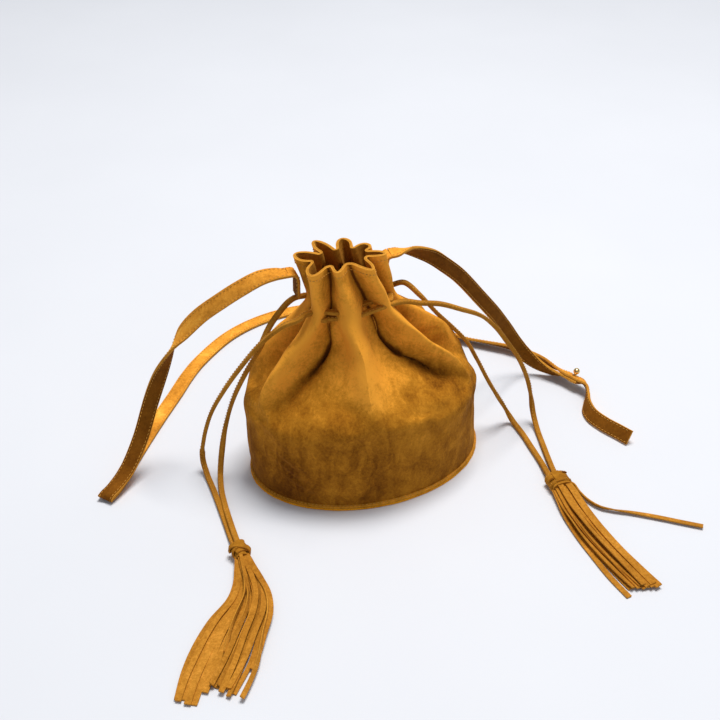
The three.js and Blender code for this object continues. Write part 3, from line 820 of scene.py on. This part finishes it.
def lace_profile(width, thickness):
    """A strip folded in three: rounded sides, and a groove where its edges meet."""
    w, t = width / 2, thickness / 2
    top = [(0.86 * w, t * 0.9), (0.35 * w, t), (0.08 * w, t * 0.96), (0, t * 0.5), (-0.08 * w, t)]
    top.append((-0.45 * w, t * 1.08))
    left = [(-0.86 * w, t * 0.92), (-w, t * 0.35), (-w, -t * 0.35), (-0.86 * w, -t * 0.9)]
    bottom = [(-0.35 * w, -t), (0.35 * w, -t), (0.86 * w, -t * 0.9)]
    right = [(w, -t * 0.35), (w, t * 0.35)]
    return (top + left + bottom + right)[::-1]


def add_lace(name, route, body, node):
    line = smooth_line(route, 0.0018)
    across = level_across(line)
    pile = Pile()
    profile = lace_profile(LACE_WIDTH, LACE_THICKNESS)
    sweep(pile, line, across, profile, [0] * len(profile) + [1])
    _, side, up = frames(line, across)
    ups = up if up[len(up) // 2][2] > 0 else -up
    seam = line + side * LACE_WIDTH * 0.27 + ups * 0.00185
    stitch_row(pile, seam, ups, 0.0034, 0.34, 0.0006, 2)
    piece = pile.build(name, [lace_suede, cut_edge, gold_thread])
    declare(piece, body, node)
    return piece, line


def build_laces():
    laces = {}
    for (side, half), ends in LACE_ENDS.items():
        name = f"lace_{side}_{half}"
        route = LACE_RUNS[side, half] + ends
        laces[side, half] = add_lace(name, route, f"{side}_lace", f"{side}_lace_{half}")
    for side, sign in (("left", 1), ("right", -1)):
        bend = [(NECK_X + sign * reach, y, LACE_Z[side]) for reach, y in LACE_BEND]
        route = [(x, -y, z) for x, y, z in bend] + bend[::-1]
        add_lace(f"lace_{side}_bend", route, "pouch", f"{side}_lace_bend")
    return laces


# ---- tassels ----
# The middle of each tassel's head.
HEAD = {"left": (-0.1543, -0.0977, 0.0078), "right": (0.1535, -0.1115, 0.0075)}


def squareness(c, s, power):
    """What to divide a circle's radius by, to square it off as power rises from 2."""
    return (abs(c) ** power + abs(s) ** power) ** (1 / power)


def turned(pile, centre, stations, sides, slot, oval=1.0, square=2.0):
    """A closed form round a line along -Y: stations are (distance from the centre, radius)."""
    points = []
    for far, radius in stations:
        for c, s in circle(sides):
            reach = radius / squareness(c, s, square)
            points.append((centre[0] + reach * c, centre[1] - far, centre[2] + reach * s * oval))
    pile.add(points, ring_faces(len(stations), sides, capped=True), slot)


def flat_strip(width, thickness):
    """The section of a cut strip, with its corners a little rubbed on the outer side."""
    w, t = width / 2, thickness / 2
    return [(-w, -t), (-w, 0.3 * t), (-0.86 * w, t), (0, 1.1 * t), (0.86 * w, t), (w, 0.3 * t), (w, -t)]


STRIP_SLOTS = [1, 0, 0, 0, 0, 1, 2, 1]


def build_knot():
    """The left tassel's head: a strip wound and knotted round the laces and the fringe."""
    x, y, z = HEAD["left"]
    pile = Pile()
    core = [
        (-0.0070, 0.0020), (-0.0066, 0.0040), (-0.0050, 0.0050),
        (0, 0.0054), (0.0050, 0.0053), (0.0095, 0.0050),
    ]
    turned(pile, (x, y, z), core, 24, 0, oval=0.92)
    turns, pitch, steps = 2.3, 0.0041, 90
    line, across = [], []
    for i in range(steps + 1):
        t = i / steps
        turn = 2 * math.pi * turns * t + 0.4
        swell = 0.0060 + 0.0008 * math.sin(math.pi * t) + 0.0003 * math.sin(turn * 1.7)
        place = y + 0.0046 - pitch * turns * t + 0.0009 * math.cos(turn)
        line.append((x + swell * math.cos(turn), place, z + swell * 0.9 * math.sin(turn)))
        across.append((0.2 * math.sin(turn * 0.9), 1, 0.15 * math.cos(turn)))
    sweep(pile, np.array(line), np.array(across, float), flat_strip(0.0048, 0.0020), STRIP_SLOTS)
    over = []
    for turn in np.linspace(math.radians(-15), math.radians(195), 26):
        reach = 0.0082 + 0.0005 * math.sin(turn * 3)
        c, s = math.cos(turn), math.sin(turn)
        over.append((x + reach * c, y - 0.0010 - 0.0042 * c, z + reach * 0.92 * s))
    tilt = np.tile((0.35, 1.0, 0), (len(over), 1))
    sweep(pile, np.array(over), tilt, flat_strip(0.0044, 0.0018), STRIP_SLOTS)
    return pile.build("knot_left", [fringe_suede, cut_edge, fringe_suede])


def build_band():
    """The right tassel's head: a flat band, stitched at both edges and lapped on top."""
    centre = HEAD["right"]
    x, y, z = centre
    pile = Pile()
    flat, square = 0.61, 2.6
    core = [(-0.0078, 0.0050), (-0.0074, 0.0088), (-0.0060, 0.0096), (0, 0.0098), (0.0100, 0.0096)]
    turned(pile, centre, core, 32, 0, flat, square)
    sleeve = [
        (-0.0064, 0.0096), (-0.0067, 0.0104), (-0.0060, 0.0109), (-0.0030, 0.0110),
        (0.0010, 0.0107), (0.0045, 0.0109), (0.0068, 0.0108), (0.0074, 0.0104), (0.0072, 0.0096),
    ]
    turned(pile, centre, sleeve, 40, 1, flat, square)
    for far in (-0.0044, 0.0056):
        line, ups = [], []
        for turn in np.linspace(0, 2 * math.pi, 61):
            c, s = math.cos(turn), math.sin(turn)
            reach = 0.0110 / squareness(c, s, square)
            line.append((x + reach * c, y - far, z + reach * s * flat))
            ups.append((c, 0, s))
        stitch_row(pile, np.array(line), np.array(ups, float), 0.0027, 0.3, 0.0007, 2)
    for side, far in ((-1, 0.0022), (1, -0.0034)):
        bar = ((0.0060, 0), (0.0085, 0.0008), (0.0103, 0.0022))
        line = [(x + side * reach, y - far, z + 0.0068 - drop) for reach, drop in bar]
        sweep(pile, np.array(line), np.tile((0, 1.0, 0), (3, 1)), flat_strip(0.0018, 0.0009), [4] * 8)
    lap = np.array([(x - 0.0012, y - far, z + 0.0070) for far in np.linspace(-0.0062, 0.0071, 12)])
    sweep(pile, lap, np.tile((1.0, 0.08, 0), (12, 1)), flat_strip(0.0080, 0.0011), [3, 1, 1, 1, 1, 3, 3, 3])
    # Slot 4, on the small bars, is the strap suede darkened as painted shade.
    return pile.build("band_right", [lace_suede, fringe_suede, gold_thread, cut_edge, shaded_strap_suede])


# The two outer edges of each fringe on the floor.
FRINGE_EDGES = {
    "left": (
        [
            (-0.1590, -0.1030), (-0.1600, -0.1080), (-0.1630, -0.1170), (-0.1685, -0.1317),
            (-0.1784, -0.1468), (-0.1985, -0.1635), (-0.2165, -0.1840), (-0.2335, -0.2095),
            (-0.2470, -0.2370),
        ],
        [
            (-0.1496, -0.1030), (-0.1486, -0.1080), (-0.1470, -0.1181), (-0.1441, -0.1365),
            (-0.1430, -0.1524), (-0.1470, -0.1720), (-0.1575, -0.1940), (-0.1715, -0.2220),
            (-0.1965, -0.2520),
        ],
    ),
    "right": (
        [
            (0.1445, -0.1180), (0.1425, -0.1297), (0.1388, -0.1512), (0.1374, -0.1822), (0.1390, -0.2106),
            (0.1410, -0.2363), (0.1440, -0.2590),
        ],
        [
            (0.1625, -0.1180), (0.1632, -0.1297), (0.1632, -0.1512), (0.1640, -0.1790), (0.1668, -0.2080),
            (0.1720, -0.2340), (0.1775, -0.2590),
        ],
    ),
}
# Each strip's lane across the fringe (0 left, 1 right) at its start, middle and end, its
# layer, its width in millimetres, how far it is turned on its side and its length.
FRINGE_STRIPS = {
    "left": [
        (0.30, 0.19, 0.14, 0, 5.2, 0.1, 0.97), (0.55, 0.36, 0.31, 0, 5.4, -0.1, 1.00),
        (0.70, 0.55, 0.52, 0, 4.6, 0.2, 0.90), (0.80, 0.74, 0.68, 0, 4.0, -0.5, 0.92),
        (0.90, 0.90, 0.84, 0, 3.8, 0.3, 0.95), (0.05, 0.02, 0.03, 0, 4.2, 0.6, 0.97),
        (0.16, 0.13, 0.09, 1, 5.0, -0.1, 0.98), (0.25, 0.27, 0.23, 1, 5.6, 0.1, 1.00),
        (0.45, 0.45, 0.41, 1, 5.2, 0.0, 0.94), (0.60, 0.64, 0.58, 1, 4.2, 1.2, 0.91),
        (0.78, 0.80, 0.76, 1, 4.4, -0.9, 0.97), (0.95, 0.99, 0.92, 1, 4.4, 0.3, 0.80),
        (0.35, 0.58, 0.49, 2, 4.4, 1.35, 0.90), (0.65, 0.70, 0.63, 2, 4.6, 0.4, 0.95),
        (0.85, 0.94, 1.00, 2, 4.2, 1.3, 0.99), (0.92, 0.87, 0.72, 2, 4.8, -0.2, 0.93),
        (0.40, 0.42, 0.55, 3, 3.0, 1.4, 0.72),
    ],
    "right": [
        (0.08, 0.06, 0.04, 0, 5.2, 0.1, 1.00), (0.25, 0.24, 0.26, 0, 5.4, -0.1, 0.95),
        (0.42, 0.40, 0.44, 0, 5.2, 0.2, 0.94), (0.58, 0.58, 0.60, 0, 5.2, 0.1, 0.97),
        (0.75, 0.76, 0.78, 0, 5.4, -0.1, 0.96), (0.92, 0.93, 0.94, 0, 5.0, 0.1, 0.98),
        (0.12, 0.16, 0.30, 1, 5.0, 0.9, 0.96), (0.33, 0.34, 0.42, 1, 5.0, 0.6, 0.97),
        (0.55, 0.50, 0.58, 1, 5.2, -0.2, 0.98), (0.72, 0.70, 0.74, 1, 5.4, 0.2, 0.98),
        (0.90, 0.88, 0.90, 1, 5.2, 0.1, 0.99), (0.22, 0.30, 0.50, 2, 5.0, 0.3, 0.96),
        (0.48, 0.62, 0.66, 2, 5.6, -0.4, 0.98), (0.68, 0.74, 0.80, 2, 7.0, 0.1, 0.99),
        (0.88, 0.88, 0.92, 2, 6.4, -0.1, 1.00), (0.36, 0.46, 0.56, 3, 5.0, 0.5, 0.97),
        (0.80, 0.80, 0.82, 3, 6.2, 0.05, 0.98),
    ],
}
STRIP_THICKNESS = 0.0014
STRIP_STEPS = 90
FRINGE_LAYERS = 4
# How thick the bundle is at its head, and how far apart its layers are on the floor.
BUNDLE = {"left": 0.0076, "right": 0.0080}
LAYER_HEIGHT = {"left": 0.0023, "right": 0.0024}


def fringe_strip(pile, side, strip, draw):
    """One strip: out of the head in a flattened bundle, then down on to the floor."""
    start, middle, end, layer, width, turned_up, length = strip
    t = np.linspace(0, 1, STRIP_STEPS)
    edges = []
    for edge in FRINGE_EDGES[side]:
        edge = smooth_line([(x, y, 0) for x, y in edge], 0.0022)
        share = distances(edge) / distances(edge)[-1]
        edges.append(np.stack([np.interp(t, share, edge[:, k]) for k in range(3)], axis=1))
    t, left, right = (values[: int(STRIP_STEPS * length)] for values in (t, *edges))
    sway = [draw.uniform(-1, 1) for _ in range(3)]
    lane = mix(mix(start, middle, smoothstep(t, 0, 0.5)), end, smoothstep(t, 0.4, 1))
    lane = lane + 0.025 * t * (sway[0] * np.sin(6 * t + 3 * sway[1]) + 0.6 * sway[2] * np.sin(11 * t))
    line = mix(left, right, lane[:, None])
    width = width * MM
    roll = turned_up * smoothstep(t, 0.06, 0.35) * (0.8 + 0.35 * np.sin(5 * t + sway[1]))
    share = layer / (FRINGE_LAYERS - 1)
    roundness = np.sqrt(np.clip(1 - (2 * start - 1) ** 2, 0.15, 1))
    bundle = HEAD[side][2] + BUNDLE[side] * (share - 0.5) * roundness
    low = STRIP_THICKNESS * 0.6 + abs(np.sin(roll)) * width / 2
    piled = low + layer * LAYER_HEIGHT[side] * (1 - 0.35 * t)
    piled = piled + 0.0012 * (1 + sway[2]) * np.sin(math.pi * t) ** 2
    line[:, 2] = mix(np.full_like(t, bundle), piled, smoothstep(t, 0.0, 0.42))
    level = level_across(line)
    tilt = level * np.cos(roll)[:, None] + np.array((0, 0, 1.0)) * np.sin(roll)[:, None]
    sweep(pile, line, tilt, flat_strip(width, STRIP_THICKNESS), STRIP_SLOTS)


def build_fringe(side, seed):
    """Cut strips that leave the head in a bundle and fan out over the floor."""
    draw = random.Random(seed)
    pile = Pile()
    for strip in FRINGE_STRIPS[side]:
        fringe_strip(pile, side, strip, draw)
    piece = pile.build(f"fringe_{side}", [fringe_suede, cut_edge, flesh_suede])
    declare(piece, f"{side}_tassel", f"{side}_tassel_fringe")


LOOSE_STRIP = [
    (0.162, -0.114, 0.0062), (0.1666, -0.120, 0.0054), (0.1675, -0.130, 0.004), (0.1705, -0.142, 0.003),
    (0.1765, -0.153, 0.0030), (0.186, -0.1605, 0.0030), (0.200, -0.169, 0.0026), (0.221, -0.184, 0.0026),
    (0.236, -0.1955, 0.0026), (0.252, -0.2075, 0.0026),
]


def build_loose_strip():
    line = smooth_line(LOOSE_STRIP, 0.0016)
    t = distances(line) / distances(line)[-1]
    level = level_across(line)
    roll = 1.15 * (1 - smoothstep(t, 0.15, 0.7)) + 0.12
    tilt = level * np.cos(roll)[:, None] + np.array((0, 0, 1.0)) * np.sin(roll)[:, None]
    pile = Pile()
    sweep(pile, line, tilt, flat_strip(0.0048, 0.0015), STRIP_SLOTS)
    piece = pile.build("loose_strip", [fringe_suede, cut_edge, flesh_suede])
    declare(piece, "right_tassel", "right_loose_strip")


def build_tassels():
    heads = {"left": build_knot(), "right": build_band()}
    for side, head in heads.items():
        declare(head, f"{side}_tassel", f"{side}_tassel_collar")
    build_fringe("left", seed=5)
    build_fringe("right", seed=8)
    build_loose_strip()


# ---- shoulder strap ----
STRAP_WIDTH = 0.015
STRAP_THICKNESS = 0.0026
# How far the strap's two seams are from its middle.
STRAP_SEAM = 0.0057
HINGE_Y, HINGE_Z = 0.014, 0.2126
STUD_PLACE = np.array((0.243, 0.024, 0.012))
STUD_AXIS = unit(np.array((0.45, 0.2, 0.87)))
STUD_ALONG = -unit(np.cross(np.cross((0.42, -0.907, 0), STUD_AXIS), STUD_AXIS))
STUD_SIDE = np.cross(STUD_AXIS, STUD_ALONG)
UNDER = STRAP_THICKNESS + 0.0006


def row_at_stud(along, down):
    return (*(STUD_PLACE + STUD_ALONG * along - STUD_AXIS * down), *STUD_SIDE)


# Each row is the strap's middle, then the direction of its width.
STRAP_LONG = [
    (-0.0683, HINGE_Y, HINGE_Z, 0, -1, 0), (-0.0725, HINGE_Y, HINGE_Z, 0, -1, 0),
    (-0.079, 0.016, 0.212, 0, -1, -0.15), (-0.091, 0.020, 0.2085, 0.15, -0.85, -0.35),
    (-0.109, 0.025, 0.198, 0.3, -0.7, -0.5), (-0.126, 0.031, 0.185, 0.35, -0.63, -0.57),
    (-0.143, 0.038, 0.170, 0.36, -0.6, -0.56), (-0.157, 0.043, 0.154, 0.2, -0.75, -0.4),
    (-0.168, 0.047, 0.138, -0.2, -0.85, 0.2), (-0.176, 0.051, 0.120, -0.6, -0.6, 0.5),
    (-0.184, 0.056, 0.098, -0.8, -0.1, 0.5), (-0.194, 0.057, 0.072, -0.78, 0.3, 0.42),
    (-0.210, 0.048, 0.037, -0.76, 0.5, 0.3), (-0.228, 0.034, 0.015, -0.68, 0.68, 0.12),
    (-0.244, 0.0205, 0.0084, -0.64, 0.77, 0), (-0.2505, 0.0155, 0.0072, -0.66, 0.75, 0),
    (-0.2532, 0.0142, 0.0045, -0.7, 0.7, 0), (-0.250, 0.0185, 0.0023, -0.76, 0.64, 0),
    (-0.240, 0.030, 0.0021, -0.8, 0.6, 0), (-0.220, 0.060, 0.0021, -0.83, 0.56, 0),
    (-0.201, 0.088, 0.0021, -0.82, 0.58, 0), (-0.179, 0.119, 0.0021, -0.8, 0.6, 0),
    (-0.156, 0.150, 0.0021, -0.78, 0.62, 0), (-0.136, 0.178, 0.0021, -0.78, 0.62, 0),
    (-0.117, 0.200, 0.0021, -0.7, 0.7, 0), (-0.074, 0.236, 0.0021, -0.5, 0.86, 0),
    (-0.032, 0.254, 0.0021, -0.25, 0.97, 0), (0.012, 0.259, 0.0021, 0, 1, 0),
    (0.056, 0.250, 0.0021, 0.3, 0.95, 0), (0.094, 0.229, 0.0024, 0.5, 0.86, -0.02),
    (0.126, 0.198, 0.0037, 0.55, 0.8, -0.2), (0.148, 0.165, 0.0048, 0.5, 0.8, -0.4),
    (0.166, 0.139, 0.0058, 0.4, 0.75, -0.55), (0.186, 0.121, 0.0064, 0.35, 0.7, -0.62),
    (0.204, 0.105, 0.0069, 0.35, 0.6, -0.7), (0.219, 0.086, 0.0074, 0.3, 0.4, -0.82),
    (0.230, 0.066, 0.0078, 0.35, 0.35, -0.84), (0.235, 0.051, 0.0088, 0.55, 0.38, -0.74),
    row_at_stud(-0.010, 0), row_at_stud(0, 0), row_at_stud(0.009, 0),
    (0.248, 0.005, 0.0094, 0.3, 0.1, -0.94), (0.241, -0.008, 0.008, -0.3, -0.2, -0.9),
    (0.2345, -0.020, 0.0078, -0.5, -0.2, -0.82), (0.2325, -0.034, 0.0076, -0.55, -0.12, -0.8),
    (0.237, -0.051, 0.0076, -0.55, -0.12, -0.8), (0.244, -0.066, 0.0076, -0.52, -0.2, -0.82),
    (0.250, -0.079, 0.0076, -0.5, -0.25, -0.82),
]
STRAP_SHORT = [
    (0.0283, HINGE_Y, HINGE_Z, 0, 1, 0), (0.0325, HINGE_Y, HINGE_Z, 0, 1, 0),
    (0.039, 0.0175, 0.2118, 0, 1, -0.25), (0.050, 0.023, 0.207, 0, 0.7, -0.7),
    (0.076, 0.032, 0.190, -0.15, 0.2, -0.95), (0.094, 0.038, 0.173, -0.3, -0.1, -0.92),
    (0.113, 0.044, 0.153, -0.38, -0.2, -0.86), (0.140, 0.051, 0.118, -0.42, -0.25, -0.82),
    (0.161, 0.056, 0.090, -0.42, -0.25, -0.82), (0.177, 0.062, 0.066, -0.4, -0.2, -0.86),
    (0.191, 0.063, 0.043, -0.35, -0.1, -0.9), (0.204, 0.061, 0.025, -0.2, 0, -0.97),
    (0.216, 0.054, 0.014, 0.1, 0.15, -0.95), (0.228, 0.043, 0.0092, 0.5, 0.3, -0.8),
    row_at_stud(-0.010, UNDER), row_at_stud(0, UNDER), row_at_stud(0.008, UNDER),
]
# The sewn-down ends: which way each faces and its places along X, at shared heights.
ANCHOR_X = {
    "left": (-1, (-0.0599, -0.0598, -0.0598, -0.0616, -0.0680)),
    "right": (1, (0.0237, 0.0236, 0.0236, 0.0249, 0.0280)),
}
ANCHOR_Z = (0.188, 0.198, 0.207, 0.2116, 0.2126)
# An outward distance listed with each strap half; nothing uses it.
BLEND_OUT = 0.015


def strap_section(thickness):
    """Two plies sewn face to face: rounded edges, a groove between them, and stitched dips."""
    half, t = STRAP_WIDTH / 2 / MM, thickness / 2 / MM
    edge = [(half, 0.1), (half - 0.3, 0), (half, -0.1)]
    top = [(-half + 0.35, t), (-6.3, t), (-5.7, t - 0.2), (-5.1, t), (0, t + 0.12)]
    top += [(5.1, t), (5.7, t - 0.2), (6.3, t), (half - 0.35, t)]
    side = [(half, t - 0.4), *edge, (half, 0.4 - t)]
    bottom = [(-a, -b) for a, b in top]
    other = [(-a, -b) for a, b in side]
    points = [(a * MM, b * MM) for a, b in top + side + bottom + other]
    kinds = [0] * (len(top) - 1) + [2] * (len(side) + 1) + [1] * (len(bottom) - 1) + [2] * (len(other) + 1)
    return points[::-1], kinds[-2::-1] + [2, 2]


def strap_piece(name, rows):
    line = smooth_line(rows, 0.0025)
    line, across = line[:, :3], line[:, 3:]
    pile = Pile()
    profile, kinds = strap_section(STRAP_THICKNESS)
    sweep(pile, line, across, profile, kinds)
    _, side, up = frames(line, across)
    for offset in (-STRAP_SEAM, STRAP_SEAM):
        for face in (1, -1):
            row = line + side * offset + up * face * (STRAP_THICKNESS / 2 - 0.0001)
            stitch_row(pile, row, up * face, 0.0038, 0.32, 0.0007, 3)
    # The top face takes the brightened painted-light copy and the bottom face the painted-shade copy.
    piece = pile.build(name, [lit_strap_suede, shaded_strap_suede, cut_edge, gold_thread])
    return piece, line


def build_strap():
    for side, (facing, places) in ANCHOR_X.items():
        rows = [(x, HINGE_Y, z, 0, facing, 0) for x, z in zip(places, ANCHOR_Z)]
        anchor, _ = strap_piece(f"strap_end_{side}", rows)
        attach(anchor, "pouch")
        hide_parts(f"{side}_strap_anchor")
    halves = (("long", STRAP_LONG, -BLEND_OUT, "bare"), ("short", STRAP_SHORT, BLEND_OUT, "object"))
    for name, rows, outward, far_end in halves:
        piece, line = strap_piece(f"strap_{name}_half", rows)
        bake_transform(piece)
        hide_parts(f"strap_{name}")


# ---- stud ----
def on_stud(name, stations, sides=32):
    """A gold piece turned about the stud's axis: stations are (height, radius)."""
    points = []
    for height, radius in stations:
        for c, s in circle(sides):
            points.append(STUD_PLACE + STUD_AXIS * height + (STUD_ALONG * c + STUD_SIDE * s) * radius)
    pile = Pile()
    pile.add(points, ring_faces(len(stations), sides, capped=True))
    return pile.build(name, [gold])


def build_stud():
    face, ball = STRAP_THICKNESS / 2 + 0.0003, 0.0034
    centre = face + 0.0022 + ball * 0.86
    steps = ((0, 0.0029), (0.0002, 0.0032), (0.0006, 0.0032), (0.0009, 0.0026), (0.0013, 0.0016))
    collar = [(face + height, radius) for height, radius in steps]
    globe = [math.radians(a) for a in (-60, -50, -38, -25, -12, 0, 12, 25, 38, 50, 62, 74, 84)]
    head = on_stud("stud_head", collar + [(centre + ball * math.sin(a), ball * math.cos(a)) for a in globe])
    declare(head, "ball", "stud_ball")
    low = -STRAP_THICKNESS / 2 - UNDER - 0.0003
    steps = ((0.0012, 0.0035), (0.0009, 0.0044), (0.0003, 0.0045), (0, 0.0041), (0, 0.0015))
    cap = [(low - height, radius) for height, radius in steps]
    top = STRAP_THICKNESS / 2
    back = on_stud("stud_back", cap + [(top - 0.0002, 0.0015), (top, 0.0013)])
    declare(back, "strap", "stud_screw")


# ---- floor and light ----
def add_stage():
    g = Graph("backdrop")
    fine = g.noise(g.place(), 3, detail=3)
    shades = [(0.3, (0.70, 0.72, 0.77)), (0.7, (0.72, 0.74, 0.79))]
    g.join(g.surface.inputs["Base Color"], g.colours(fine, shades))
    g.join(g.surface.inputs["Roughness"], g.put("ShaderNodeMapRange", {0: fine, 3: 0.6, 4: 0.7}))
    pile = Pile()
    half = 4
    pile.add([(-half, -half, 0), (half, -half, 0), (half, half, 0), (-half, half, 0)], [[0, 1, 2, 3]])
    floor = pile.build("floor", [g.material])


def add_light(name, place, target, size, power, colour):
    data = bpy.data.lights.new(name, "AREA")
    data.size = size
    data.energy = power
    data.color = colour
    light = bpy.data.objects.new(name, data)
    light.location = place
    light.rotation_euler = (Vector(target) - Vector(place)).to_track_quat("-Z", "Y").to_euler()
    scene.collection.objects.link(light)


def add_world(colour, strength):
    world = bpy.data.worlds.new("studio")
    world.use_nodes = True
    background = world.node_tree.nodes["Background"]
    background.inputs[0].default_value = (*colour, 1)
    background.inputs[1].default_value = strength
    scene.world = world


# ---- assembly ----
add_stage()
scene.view_settings.view_transform = "Standard"
add_world((0.90, 0.94, 1.0), strength=0.37)
add_light("key", (0.45, 0.36, 3.0), target=(0, 0, 0.1), size=1.15, power=94, colour=(1, 0.98, 0.95))
tassel_laces = build_laces()
build_tassels()
build_strap()
build_stud()
wall_points, wall_square, foot, outward = build_walls()
finish_stitches(build_base(foot, outward), wall_points, wall_square)
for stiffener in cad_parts["base_board"].material_slots:
    stiffener.material = board
